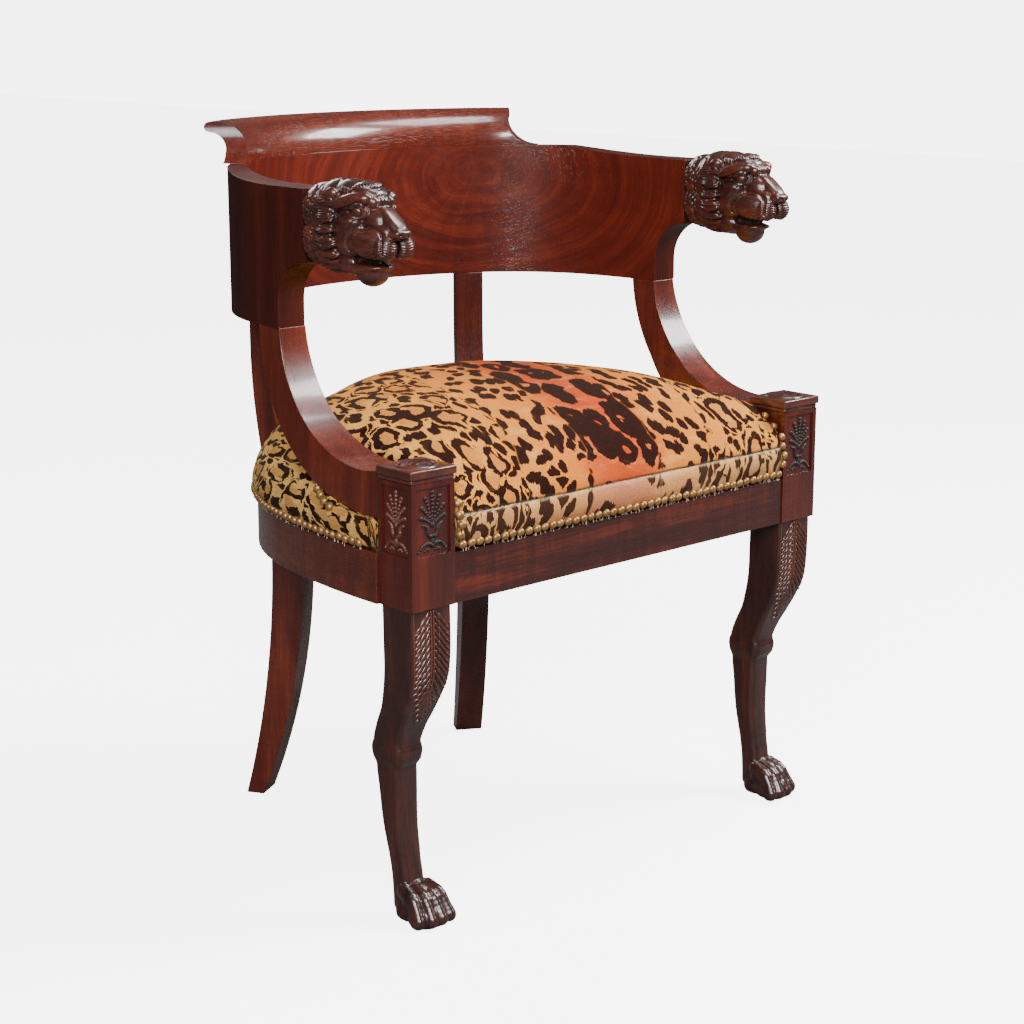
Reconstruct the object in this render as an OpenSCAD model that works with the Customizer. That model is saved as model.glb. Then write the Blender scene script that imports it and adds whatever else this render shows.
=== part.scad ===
// Desk armchair with a low curved back, lion-head arms and lion-paw front legs.
// Millimetres. Z is up, the front faces -Y, the floor is at Z = 0.

/* [Overall] */
// Height of the crest rail above the floor
overall_h = 800; // [792:1:808]
// Width over the two front leg blocks
block_span = 612; // [604:1:620]
// Distance from the middle of the seat's round back to the front faces of the leg blocks
front_reach = 171.5; // [168:0.5:175]

/* [Seat frame] */
// Underside of the seat rails above the floor
rail_z = 343; // [340:1:346]
// Height of the seat rails
rail_h = 53; // [50:1:56]
// Thickness of the seat rails
rail_t = 28; // [26:1:30]
// Radius of the slow curve of the side rails
side_r = 851; // [840:1:862]
// Distance that the front rail is set back from the leg blocks
rail_setback = 1.5; // [1:0.5:3]

/* [Front legs] */
// Width of the leg block across the front
block_w = 56; // [54:1:58]
// Depth of the leg block from front to back
block_d = 52; // [50:1:54]
// Height of the leg block above the seat rail's top
block_rise = 76; // [74:1:78]
// Thickness of the cap on the leg block
cap_t = 14; // [12:1:16]
// Overhang of the cap over the block
cap_over = 3; // [2:0.5:4]
// Depth of the sunk panels in the block
panel_sink = 2; // [1:0.5:3]
// Width of the lower leg just above the paw
shin_w = 28; // [26:1:30]
// Width of the paw
paw_w = 46; // [44:1:48]

/* [Rear legs] */
// Place of the rear legs round the seat's back, from the right-hand side
rear_angle = 59.5; // [58:0.5:61]
// Width of the rear legs across the splay
rear_w = 34; // [32:1:36]
// How far the foot's middle splays outside the seat's round back
foot_splay = 33; // [28:1:38]
// Depth of the foot at the floor
foot_d = 22; // [20:1:24]
// Depth of the leg at the seat rail
waist_d = 40; // [38:1:42]
// Depth of the stile where it meets the back panel
stile_d = 19; // [18:1:20]

/* [Back panel] */
// Height of the crest rail above the panel
crest_h = 43.5; // [42:0.5:46]
// Height of the back panel
panel_h = 155.5; // [152:0.5:158]
// How much tighter the panel's round corners are than the seat's round back
corner_inset = 123.5; // [121:0.5:126]
// Thickness of the panel at the middle of the back
panel_t = 25; // [24:0.5:26]
// Overhang of the crest rail behind the face of the panel
crest_over = 50; // [48:1:52]
// Thickness of the crest rail's rolled lip
crest_lip = 11; // [10:0.5:12]

/* [Arms] */
// Height of the arm's front end where the lion head begins
arm_nose_h = 74.5; // [72:0.5:77]
// Distance of the head joint in front of the middle of the round back
head_joint = 2; // [0:0.5:4]
// Radius of the sweep under the arm
sweep_r = 46; // [44:1:48]

/* [Arm supports] */
// Distance from the leg block to the lowest point of the support's front curve
support_foot = 29.5; // [27:0.5:32]
// Depth of the support, front to back, where it meets the arm
support_top_d = 35.5; // [34:0.5:37]
// Distance of the support's underside below the top of the leg block
support_drop = 41.5; // [40:0.5:43]
// Width of the support where it meets the arm
support_top_w = 34; // [32:1:36]

/* [Lion heads] */
// Radius of the mane
mane_r = 37; // [35:1:39]
// Reach of the head in front of the arm
head_reach = 142; // [138:1:146]

/* [Seat cushion] */
// Height of the crown above the seat rails
crown_h = 115; // [108:1:120]
// Height of the cushion's upright border
border_h = 52; // [48:1:54]
// Swell of the cushion's sides
side_swell = 9; // [6:1:10]
// Width of the webbing straps
strap_w = 50; // [46:1:52]

/* [Joinery] */
// Thickness of the rail tenons
tenon_t = 12; // [10:1:14]
// Height of the rail tenons
tenon_h = 34; // [30:1:38]
// Length of the tenons into the front legs
tenon_l = 22; // [18:1:24]
// Diameter of the dowels
dowel_d = 10; // [8:1:11]
// Clearance round each tenon and dowel
fit_gap = 0.2; // [0.15:0.05:0.3]

/* [Hidden] */
$fn = 96;
eps = 0.01;
far = 900;

mahogany = [0.38, 0.12, 0.08];
carved = [0.28, 0.10, 0.07];
secondary = [0.72, 0.55, 0.36];
velvet = [0.86, 0.70, 0.48];
flax = [0.70, 0.62, 0.48];

// Plan of the seat
bow_y = -79.6;
half_span = block_span / 2;
block_y = bow_y - front_reach;
block_back_y = block_y + block_d;
block_x = half_span - block_w;
rail_top = rail_z + rail_h;
rail_x = half_span + 3;
side_c = [rail_x - side_r, block_back_y];
side_turn = atan2(bow_y - side_c[1], -side_c[0]);
bow_r = side_r - norm([side_c[0], bow_y - side_c[1]]);

// Plan of the back and the arms, as arcs that run into each other
corner_r = bow_r - corner_inset;
in_corner_x = 82.7;
in_corner_y = 102;
in_arm_x = 190;
in_arm_y = 35;
in_back_y = 71;
out_corner_x = 76.7;
out_corner_y = 65;
out_arm_x = 203;
out_arm_y = 20.5;
out_back_y = 1.5;
in_corner = [in_corner_x, bow_y + in_corner_y];
in_arm = [-in_arm_x, bow_y + in_arm_y];
in_back = [0, bow_y - in_back_y];
out_corner = [out_corner_x, bow_y + out_corner_y];
out_arm = [-out_arm_x, bow_y + out_arm_y];
out_back = [0, bow_y - out_back_y];
in_back_r = corner_r + norm(in_corner - in_back);
out_back_r = in_back[1] + in_back_r + panel_t - out_back[1];
out_corner_r = out_back_r - norm(out_corner - out_back);
panel_top = overall_h - crest_h;
panel_z = panel_top - panel_h;
panel_cut = 38;
panel_mid_r = (in_back_r - in_back_y) * 1.0512;
crest_end = 38.5;
crest_sweep = 40;

// Arms
head_y = bow_y + head_joint;
arm_drop = 9;
arm_nose_z = panel_top - arm_drop - arm_nose_h;
arm_inset = 16;
arm_x = bow_r - arm_inset;
sweep_y = head_y + 1;
sweep_z = arm_nose_z - sweep_r;
arm_front_y = sweep_y + sweep_r;
arm_dip = [60, 180];
arm_in = arm_x - 130;
arm_out = arm_x + 50;
arm_dip_r = arc_r(arm_dip[1] - arm_dip[0], arm_drop);

// Arm supports
cap_z = rail_top + block_rise;
support_rise = 4;
support_front_y = block_back_y + support_foot;
support_front_r = arc_r(arm_front_y - support_front_y, panel_z - cap_z - support_rise);
support_front = [support_front_y, cap_z + support_rise + support_front_r];
support_back_y = block_back_y + support_foot * 0.576;
support_back_r = arc_r(arm_front_y + support_top_d - support_back_y, panel_z - cap_z + support_drop);
support_back = [support_back_y, cap_z - support_drop + support_back_r];

// Rear legs
waist_drop = 43;
knee_drop = 51;
stile_out = 14.5;
waist_in = 16;
waist_z = rail_z - waist_drop;
knee_z = panel_z - knee_drop;
bend_z = (waist_z + knee_z) / 2;
stile_r = bow_r + stile_out;
waist_r = bow_r - waist_in;
foot_r = bow_r + foot_splay;

function arc_r(rise, offset) = (rise * rise + offset * offset) / (2 * offset);

// A smooth line through the points, with a few steps between each pair
function spline_at(p, i, t) =
  let (a = p[max(i - 1, 0)], b = p[i], c = p[i + 1], d = p[min(i + 2, len(p) - 1)])
  0.5 * ((2 * b) + (c - a) * t + (2 * a - 5 * b + 4 * c - d) * t * t
    + (3 * b - a - 3 * c + d) * t * t * t);
function spline(p, steps = 4) =
  concat([for (i = [0 : len(p) - 2], k = [0 : steps - 1]) spline_at(p, i, k / steps)],
    [p[len(p) - 1]]);
function arc(c, r, a0, a1, steps) =
  [for (k = [0 : steps]) c + r * [cos(a0 + (a1 - a0) * k / steps), sin(a0 + (a1 - a0) * k / steps)]];
function flip(p) = [for (i = [len(p) - 1 : -1 : 0]) p[i]];

module mirrored(side) {
  if (side > 0) children();
  else mirror([1, 0, 0]) children();
}

// A prism of a profile drawn in Y and Z, from one X to another
module along_x(x0, x1) {
  translate([x0, 0, 0]) rotate([90, 0, 90]) linear_extrude(height = x1 - x0) children();
}

// A prism of a profile drawn in X and Z, from one Y to another
module along_y(y0, y1) {
  translate([0, y1, 0]) rotate([90, 0, 0]) linear_extrude(height = y1 - y0) children();
}

module sector(c, a0, a1) {
  mid = (a0 + a1) / 2;
  polygon([c, c + far * [cos(a0), sin(a0)], c + 2 * far * [cos(mid), sin(mid)],
    c + far * [cos(a1), sin(a1)]]);
}

// Seat frame

// Right-hand edge of the seat frame, from the front block round to the middle of the back
function seat_edge(inset) = concat(arc(side_c, side_r - inset, 0, side_turn, 8),
  arc([0, bow_y], bow_r - inset, side_turn + 2, 90, 36));

module seat_plan(inset) {
  right = seat_edge(inset);
  polygon(concat(right, [for (q = flip(right)) [-q[0], q[1]]]));
}

module rail_ring() {
  difference() {
    seat_plan(0);
    seat_plan(rail_t);
  }
}

// The frame of a rear leg: X across the splay, Y away from the middle of the round back
module at_rear_leg(side) {
  mirrored(side) translate([0, bow_y, 0]) rotate([0, 0, rear_angle - 90]) children();
}

module rear_leg_gap(side, gap = 0) {
  at_rear_leg(side) translate([-rear_w / 2 - gap, 0, rail_z - 1])
    cube([rear_w + 2 * gap, far, rail_h + 2]);
}

// Tenons of the two rails that meet in a rear leg
module rear_tenons(side, dir, gap) {
  tenon_x = rear_w / 2 - 15;
  at_rear_leg(side) translate([dir > 0 ? tenon_x - gap : -rear_w / 2 - eps,
    waist_r + 3 - tenon_t / 2 - gap, rail_z + (rail_h - tenon_h) / 2 - gap])
    cube([15 + eps + gap, tenon_t + 2 * gap, tenon_h + 2 * gap]);
}

module front_tenon(side, gap) {
  mirrored(side) translate([block_x - eps, block_y + rail_setback + (rail_t - tenon_t) / 2 - gap,
    rail_z + (rail_h - tenon_h) / 2 - gap])
    cube([tenon_l + gap + eps, tenon_t + 2 * gap, tenon_h + 2 * gap]);
}

module side_tenon(side, gap) {
  mirrored(side) translate([rail_x - rail_t / 2 - tenon_t / 2 - gap - 4, block_back_y - tenon_l + 4 - gap,
    rail_z + (rail_h - tenon_h) / 2 - gap])
    cube([tenon_t + 2 * gap, tenon_l - 4 + gap + eps, tenon_h + 2 * gap]);
}

module front_rail() {
  color(mahogany) union() {
    translate([-block_x, block_y + rail_setback, rail_z]) cube([2 * block_x, rail_t, rail_h]);
    front_tenon(1, 0);
    front_tenon(-1, 0);
  }
}

module side_rail(side) {
  color(mahogany) union() {
    difference() {
      mirrored(side) translate([0, 0, rail_z]) linear_extrude(height = rail_h) intersection() {
        rail_ring();
        polygon([[0, bow_y], [1, -far], [far, -far], [far, bow_y + far * tan(30)],
          far * [cos(rear_angle), sin(rear_angle)] + [0, bow_y]]);
      }
      rear_leg_gap(side);
    }
    side_tenon(side, 0);
    rear_tenons(side, 1, 0);
  }
}

module back_rail() {
  color(secondary) union() {
    difference() {
      translate([0, 0, rail_z]) linear_extrude(height = rail_h) intersection() {
        rail_ring();
        sector([0, bow_y], rear_angle, 180 - rear_angle);
      }
      rear_leg_gap(1);
      rear_leg_gap(-1);
    }
    rear_tenons(1, -1, 0);
    rear_tenons(-1, -1, 0);
  }
}

paw_x = half_span - 33;

// A glue block in the front corner, cut round the leg block
module corner_block(side) {
  in_y = block_y + rail_setback + rail_t;
  in_x = rail_x - rail_t - 1.5;
  color(secondary) mirrored(side) translate([0, 0, rail_z + 14]) linear_extrude(height = 30)
    polygon([[block_x - 45, in_y], [block_x, in_y], [block_x, block_back_y],
      [in_x, block_back_y], [in_x - 2, block_back_y + 42]]);
}

// Front legs

// Back and front edge of the leg: height, and distance behind the block's front face
leg_back = [[343, 51], [300, 51], [270, 53], [232, 64], [205, 79], [182, 86.5], [165, 84],
  [140, 80.5], [100, 75.5], [60, 67], [30, 63], [12, 61.5]];
leg_front = [[343, 4], [300, 4], [272, 6], [250, 13], [230, 23], [205, 36], [190, 41],
  [178, 41.5], [162, 45.5], [140, 46], [100, 46], [60, 41], [45, 38]];
leg_half = [[343, 26], [300, 26], [270, 25], [232, 21.5], [205, 18.5], [182, 17.5], [160, 15.5],
  [100, 15], [45, 14], [12, 15]];

function leg_z(z) = z * rail_z / 343;

module leg_side_profile() {
  back = [for (q = spline(leg_back)) [block_y + q[1], leg_z(q[0])]];
  front = [for (q = spline(leg_front)) [block_y + q[1], leg_z(q[0])]];
  polygon(concat(back, [[block_y + 60, 5], [block_y + 36, 5]], flip(front)));
}

module leg_front_profile() {
  lean = half_span - block_w / 2 - paw_x;
  half = [for (q = spline(leg_half)) [q[1] * (q[0] > 230 ? block_w / 56 : shin_w / 28), leg_z(q[0])]];
  outline = concat(half, [for (q = flip(half)) [-q[0], q[1]]]);
  polygon([for (q = outline) [q[0] - lean * (1 - q[1] / rail_z), q[1]]]);
}

module paw() {
  toe_r = paw_w / 8 + 1.2;
  toe_step = (paw_w - 2 * toe_r) / 3;
  intersection() {
    union() {
      translate([0, 10, 17]) sphere(r = 17);
      translate([0, 4, 0]) cylinder(r = 18, h = 24);
      translate([0, -10, 21]) sphere(r = 20);
      for (i = [0 : 3]) {
        reach = (i == 0 || i == 3) ? -30 : -36;
        x = (i - 1.5) * toe_step;
        translate([x, reach + 10, 28]) sphere(r = toe_r + 2.5);
        translate([x, reach, 12]) sphere(r = toe_r + 1.5);
        translate([x, reach + 4, 0]) cylinder(r = toe_r + 1, h = 22);
      }
    }
    translate([-40, -60, 0]) cube([80, 100, 60]);
  }
}

module sunk_panels() {
  z0 = rail_top + 2;
  z1 = cap_z - 5;
  // Front face and outer face
  translate([block_x + 6, block_y - 1, z0]) cube([block_w - 12, panel_sink + 1, z1 - z0]);
  translate([half_span - panel_sink, block_y + 6, z0]) cube([panel_sink + 1, block_d - 12, z1 - z0]);
}

module front_leg(side) {
  mid_x = half_span - block_w / 2;
  color(carved) difference() {
    mirrored(side) union() {
      difference() {
        translate([block_x, block_y, rail_z]) cube([block_w, block_d, cap_z - rail_z]);
        sunk_panels();
      }
      intersection() {
          along_x(block_x - 10, half_span) leg_side_profile();
        translate([mid_x, 0, 0]) along_y(block_y - 30, block_back_y + 60) leg_front_profile();
      }
      translate([paw_x, block_y + 32, 0]) paw();
    }
    front_tenon(side, fit_gap);
    side_tenon(side, fit_gap);
  }
}

module block_cap(side) {
  color(carved) mirrored(side) translate([block_x, block_y, cap_z]) {
    cube([block_w, block_d, 5]);
    translate([-cap_over, -cap_over, 5]) cube([block_w + 2 * cap_over, block_d + cap_over, cap_t - 5]);
    // Turned roundel let into the top
    translate([block_w / 2, block_d / 2, cap_t - eps]) {
      cylinder(d = 12, h = 1.6);
      rotate_extrude() translate([16, 0]) circle(r = 1.8);
      rotate_extrude() translate([10.5, 0]) circle(r = 1.2);
    }
  }
}

// Rear legs

module between_arcs(front_c, front_r, back_c, back_r, z0, z1) {
  intersection() {
    difference() {
      translate(front_c) circle(r = front_r);
      translate(back_c) circle(r = back_r);
    }
    translate([0, z0]) square([far, z1 - z0]);
  }
}

module rear_leg_profile() {
  f_foot = foot_r - foot_d / 2;
  b_foot = foot_r + foot_d / 2;
  f_waist = waist_r - waist_d / 2;
  b_waist = waist_r + waist_d / 2;
  f_stile = stile_r - stile_d / 2;
  b_stile = stile_r + stile_d / 2;
  rf = arc_r(waist_z, f_foot - f_waist);
  rb = arc_r(waist_z, b_foot - b_waist);
  uf = arc_r(bend_z - waist_z, (f_stile - f_waist) / 2);
  ub = arc_r(bend_z - waist_z, (b_stile - b_waist) / 2);
  between_arcs([f_waist + rf, waist_z], rf, [b_waist + rb, waist_z], rb, 0, waist_z);
  between_arcs([f_waist + uf, waist_z], uf, [b_waist + ub, waist_z], ub, waist_z, bend_z);
  between_arcs([b_stile - ub, knee_z], ub, [f_stile - uf, knee_z], uf, bend_z, knee_z);
  translate([f_stile, knee_z]) square([stile_d, panel_z - knee_z]);
}

// Distance of a rear leg's front face from the middle of the round back, above the seat
function leg_face(z) =
  let (f0 = waist_r - waist_d / 2, f1 = stile_r - stile_d / 2,
    r = arc_r(bend_z - waist_z, (f1 - f0) / 2))
  z < bend_z ? f0 + r - sqrt(r * r - pow(z - waist_z, 2)) : f1 - r + sqrt(r * r - pow(knee_z - z, 2));

module stile_tenon(side, gap) {
  at_rear_leg(side) translate([-rear_w / 2 + 7 - gap, stile_r - 5 - gap, panel_z - eps])
    cube([rear_w - 14 + 2 * gap, 10 + 2 * gap, 24 + gap]);
}

module rear_leg(side) {
  color(mahogany) difference() {
    union() {
      at_rear_leg(side) along_x(-rear_w / 2, rear_w / 2) rear_leg_profile();
      stile_tenon(side, 0);
    }
    rear_tenons(side, 1, fit_gap);
    rear_tenons(side, -1, fit_gap);
  }
}

// Back and arms

// The area inside a line of three arcs on each side that run into each other
module bow_plan(arm, corner, back, r_corner) {
  r_arm = r_corner + norm(corner - arm);
  r_back = r_corner + norm(corner - back);
  a0 = atan2(corner[1] - arm[1], corner[0] - arm[0]);
  a1 = atan2(corner[1] - back[1], corner[0] - back[0]);
  difference() {
    intersection() {
      translate(arm) circle(r = r_arm);
      translate([-arm[0], arm[1]]) circle(r = r_arm);
      translate(back) circle(r = r_back);
    }
    sector(corner, a0, a1);
    mirror([1, 0]) sector(corner, a0, a1);
  }
  for (s = [0, 1]) mirror([s, 0]) intersection() {
    translate(corner) circle(r = r_corner);
    sector(corner, a0 - eps, a1 + eps);
  }
}

module bow_ring() {
  difference() {
    bow_plan(out_arm, out_corner, out_back, out_corner_r);
    bow_plan(in_arm, in_corner, in_back, corner_r);
  }
}

// Dowels that run from the panel's ends into the arms
module panel_dowels(gap) {
  for (side = [-1, 1], z = [panel_z + panel_h / 4, panel_z + panel_h * 0.72])
    mirrored(side) translate([0, bow_y, z]) rotate([0, 0, panel_cut]) translate([panel_mid_r, 0, 0])
      rotate([90, 0, -6]) cylinder(d = dowel_d + 2 * gap, h = 30 + 2 * gap, center = true);
}

module crest_dowels(gap) {
  for (a = [66, 90, 114])
    translate([in_back[0] + (in_back_r + 12.5) * cos(a), in_back[1] + (in_back_r + 12.5) * sin(a),
      panel_top - 18 - gap]) cylinder(d = dowel_d + 2 * gap, h = 36 + 2 * gap);
}

module head_dowels(gap) {
  for (side = [-1, 1], z = [arm_nose_z + arm_nose_h * 0.27, arm_nose_z + arm_nose_h * 0.72])
    mirrored(side) translate([arm_x, head_y - 18 - gap, z])
      rotate([-90, 0, 0]) cylinder(d = dowel_d + 2 * gap, h = 36 + 2 * gap);
}

module support_dowels(gap) {
  for (side = [-1, 1]) mirrored(side) translate([arm_x - 1, arm_front_y + support_top_d / 2, panel_z - 18 - gap])
    cylinder(d = dowel_d + 2 * gap, h = 36 + 2 * gap);
}

module back_panel() {
  color(mahogany) difference() {
    translate([0, 0, panel_z]) linear_extrude(height = panel_h) intersection() {
      bow_ring();
      sector([0, bow_y], panel_cut, 180 - panel_cut);
    }
    stile_tenon(1, fit_gap);
    stile_tenon(-1, fit_gap);
    panel_dowels(fit_gap);
    crest_dowels(fit_gap);
  }
}

module arm(side) {
  color(mahogany) difference() {
    mirrored(side) difference() {
      translate([0, 0, panel_z]) linear_extrude(height = panel_h) difference() {
        intersection() {
          bow_ring();
          translate([100, head_y]) square([far, far]);
        }
        sector([0, bow_y], panel_cut, 180 - panel_cut);
      }
      // Sweep under the arm
      along_x(arm_in, arm_out) polygon(concat(arc([sweep_y, sweep_z], sweep_r, 0, 90, 12),
        [[head_y - 5, arm_nose_z], [head_y - 5, panel_z - 1], [sweep_y + sweep_r, panel_z - 1]]));
      // Slow dip of the top edge towards the front
      along_x(arm_in, arm_out) polygon(concat([[head_y - 5, panel_top + 5], [head_y - 5, panel_top - arm_drop]],
        [for (y = [0 : 12 : arm_dip[1] - arm_dip[0]]) [head_y + arm_dip[0] + y,
          panel_top - arm_drop + arm_dip_r - sqrt(arm_dip_r * arm_dip_r - y * y)]],
        [[head_y + arm_dip[1], panel_top + 5]]));
    }
    panel_dowels(fit_gap);
    head_dowels(fit_gap);
    support_dowels(fit_gap);
  }
}

// Section of the crest rail: a shoulder that rolls back into a rounded lip with a cove behind it
crest_shoulder = crest_h - 5;
crest_lip_r = crest_lip / 2;
crest_lip_c = [crest_over - crest_lip_r, crest_h - crest_lip_r - 0.6];
crest_cove = 22;
crest_front = concat([[0, 0]], arc([crest_shoulder, 5], crest_shoulder, 180, 91, 8),
  arc(crest_lip_c, crest_lip_r, 84, 6, 3));
crest_back = concat([[panel_t - 1, 0]],
  arc([panel_t - 1 + crest_cove, crest_lip_c[1] - crest_lip_r - crest_cove], crest_cove, 180, 90, 8),
  arc(crest_lip_c, crest_lip_r, -90, -24, 3));
crest_ring = concat(crest_front, flip(crest_back));

crest_turn = atan2(in_corner[1] - in_back[1], in_corner[0] - in_back[0]);
corner_steps = 7;
back_steps = 12;
stations = 2 * corner_steps + back_steps;

// A point of the crest rail at a station along the bow, so far behind its face
function crest_xy(k, d) =
  k > stations / 2 ? let (q = crest_xy(stations - k, d)) [-q[0], q[1]]
  : k < corner_steps
    ? let (a = crest_end + (crest_turn - crest_end) * k / corner_steps)
      in_corner + (corner_r + d) * [cos(a), sin(a)]
    : let (a = crest_turn + (180 - 2 * crest_turn) * (k - corner_steps) / back_steps)
      in_back + (in_back_r + d) * [cos(a), sin(a)];

module crest_body() {
  n = len(crest_ring);
  m = len(crest_front);
  pts = [for (k = [0 : stations], q = crest_ring)
    let (p = crest_xy(k, q[0])) [p[0], p[1], panel_top + q[1]]];
  last = stations * n;
  polyhedron(points = pts, faces = concat(
    [for (k = [0 : stations - 1], i = [0 : n - 1]) let (j = (i + 1) % n)
      [k * n + i, k * n + j, (k + 1) * n + i]],
    [for (k = [0 : stations - 1], i = [0 : n - 1]) let (j = (i + 1) % n)
      [k * n + j, (k + 1) * n + j, (k + 1) * n + i]],
    [for (i = [0 : m - 2]) [i, n - 1 - i, n - 2 - i, i + 1]],
    [for (i = [0 : m - 2]) [last + i, last + i + 1, last + n - 2 - i, last + n - 1 - i]]));
}

module crest_rail() {
  color(mahogany) difference() {
    crest_body();
    // Hollow sweep at each end
    for (side = [-1, 1]) mirrored(side) translate([in_corner[0], in_corner[1], panel_top + crest_sweep])
      rotate([0, 0, crest_end]) translate([corner_r - 30, 0, 0]) rotate([0, 90, 0])
      cylinder(r = crest_sweep - 0.6, h = crest_over + 70);
    crest_dowels(fit_gap);
  }
}

module arm_support(side) {
  x_top = [arm_x - 1 - support_top_w / 2, arm_x - 1 + support_top_w / 2];
  color(mahogany) difference() {
    mirrored(side) intersection() {
      along_x(block_x - 5, half_span + 5) difference() {
        intersection() {
          translate(support_back) circle(r = support_back_r);
          translate([block_back_y, 0]) square([far, panel_z]);
        }
        translate(support_front) circle(r = support_front_r);
      }
      along_y(block_back_y - 1, 50) polygon([[block_x + 3, cap_z - 60], [half_span - 1, cap_z - 60],
        [half_span - 1, cap_z - 10], [x_top[1], panel_z + 1], [x_top[0], panel_z + 1],
        [x_top[0] - 1, cap_z + 40], [block_x + 3, cap_z - 10]]);
    }
    support_dowels(fit_gap);
  }
}

// Lion heads

module ball(x, y, z, r) {
  translate([x, y, z]) rotate([11 + x, 17 - y, 23 + z]) sphere(r = r);
}

module lion_head(side) {
  muzzle_y = 12 - head_reach;
  color(carved) difference() {
    mirrored(side) translate([arm_x, head_y, arm_nose_z + 39]) difference() {
      union() {
        // Collar behind the mane, as deep as the arm
        for (z = [-14, 14]) ball(0, -20, z, mane_r - 7);
        // Mane round the face, taller than it is wide
        for (z = [-8, 14]) ball(0, -42, z, mane_r);
        for (a = [45 : 90 : 315]) ball((mane_r - 15) * cos(a), -57, (mane_r - 8) * sin(a), 15);
        // Brows, cheeks and whisker pads
        for (s = [-1, 1]) {
          ball(s * 15, -93, 21, 13);
          ball(s * 14, -80, -5, 21);
          ball(s * 10, muzzle_y + 5, -10, 14.5);
        }
        // Forehead, bridge and tip of the nose, lower jaw and chin
        ball(0, -78, 14, 30);
        ball(0, -103, 13, 17);
        ball(0, -117, 5, 14);
        ball(0, muzzle_y, 0, 11);
        ball(0, muzzle_y + 22, -29, 13);
        ball(0, -90, -39, 17);
      }
      translate([-60, 0, -60]) cube([120, 60, 120]);
    }
    head_dowels(fit_gap);
  }
}

// Seat upholstery

strap_t = 1.5;
cloth_t = 1;
cloth_z = rail_top + 2 * strap_t;
seat_depth = front_reach + bow_r;
strap_ys = [for (k = [0 : 4]) block_y + seat_depth * (0.144 + 0.15 * k)];
strap_xs = [for (k = [-2 : 2]) k * block_x * 0.348];

module strap_zone() {
  difference() {
    union() {
      seat_plan(8);
      translate([-block_x, block_y + rail_setback + 8]) square([2 * block_x, rail_t + 40]);
    }
    for (side = [-1, 1]) mirrored(side) {
      translate([block_x - 0.3, block_y - 1]) square([block_w + 9, block_d + 1.3]);
      at_rear_leg(1) translate([-rear_w / 2 - 1, waist_r - waist_d / 2 - 1]) square([rear_w + 2, far]);
    }
  }
}

module webbing_cross() {
  color(flax) translate([0, 0, rail_top]) linear_extrude(height = strap_t) intersection() {
    strap_zone();
    for (y = strap_ys) translate([-far, y - strap_w / 2]) square([2 * far, strap_w]);
  }
}

module webbing_long() {
  color(flax) translate([0, 0, rail_top + strap_t]) linear_extrude(height = strap_t) intersection() {
    strap_zone();
    for (x = strap_xs) translate([x - strap_w / 2, -far]) square([strap_w, 2 * far]);
  }
}

module base_cloth() {
  color(flax) translate([0, 0, cloth_z]) linear_extrude(height = cloth_t) strap_zone();
}

// How far the seat's edge lies from the origin in a direction
function seat_reach(a) =
  let (dx = abs(cos(a)), dy = sin(a), front = block_y + rail_setback,
    bow = dy * bow_y + sqrt(pow(dy * bow_y, 2) - bow_y * bow_y + bow_r * bow_r),
    b = dx * side_c[0] + dy * side_c[1],
    side = b + sqrt(b * b - pow(norm(side_c), 2) + side_r * side_r),
    edge = bow * dy > bow_y + bow_r * sin(side_turn) ? bow : side)
  dy < 0 ? min(edge, front / dy) : edge;

ring_n = 72;
function ring_angle(i) = 360 * i / ring_n;
function ring_reach(i) =
  let (a = ring_angle(i), b = a > 180 ? a - 360 : a) seat_reach(b);
function ring_pts(grow, keep, z) =
  [for (i = [0 : ring_n - 1]) let (a = ring_angle(i), r = ring_reach(i) * keep + grow) [r * cos(a), r * sin(a), z]];

module cushion_form() {
  crown_z = rail_top + crown_h;
  border_z = rail_top + border_h;
  sides = [[-2, 1, rail_top + 0.3], [side_swell * 0.6, 1, rail_top + 12],
    [side_swell, 1, rail_top + 30], [side_swell * 0.7, 1, border_z - 8], [-1, 1, border_z]];
  crown = [for (t = [0.04, 0.1, 0.18, 0.3, 0.45, 0.62, 0.81]) [-1, 1 - t,
    border_z + (crown_z - border_z) * (1 - pow(1 - t, 3.5))]];
  levels = concat(sides, crown);
  n = len(levels);
  rings = [for (q = levels) ring_pts(q[0], q[1], q[2])];
  pts = concat([for (r = rings, p = r) p], [[0, 0, rail_top + 0.3], [0, 0, crown_z]]);
  polyhedron(points = pts, faces = concat(
    [for (k = [0 : n - 2], i = [0 : ring_n - 1]) let (j = (i + 1) % ring_n)
      [k * ring_n + i, (k + 1) * ring_n + i, k * ring_n + j]],
    [for (k = [0 : n - 2], i = [0 : ring_n - 1]) let (j = (i + 1) % ring_n)
      [k * ring_n + j, (k + 1) * ring_n + i, (k + 1) * ring_n + j]],
    [for (i = [0 : ring_n - 1]) [i, (i + 1) % ring_n, n * ring_n]],
    [for (i = [0 : ring_n - 1]) [(n - 1) * ring_n + (i + 1) % ring_n, (n - 1) * ring_n + i, n * ring_n + 1]]));
}

module seat_cushion() {
  color(velvet) difference() {
    cushion_form();
    for (side = [-1, 1]) mirrored(side) {
      translate([block_x - 0.3, block_y - 20, rail_top - 1]) cube([block_w + 30, block_d + 20.3, 200]);
      translate([block_x - 0.3, support_back[0], support_back[1]]) rotate([0, 90, 0])
        cylinder(r = support_back_r + 0.3, h = 90, $fn = 64);
      at_rear_leg(1) along_x(-rear_w / 2 - 0.3, rear_w / 2 + 0.3) polygon(concat([[far, rail_top - 1]],
        [for (z = [rail_top - 1 : 9 : rail_top + 110]) [leg_face(z) - 0.3, z]], [[far, rail_top + 110]]));
    }
    translate([0, 0, rail_top - 1]) linear_extrude(height = 2 * strap_t + cloth_t + 1.3) offset(delta = 0.3) strap_zone();
  }
}

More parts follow.
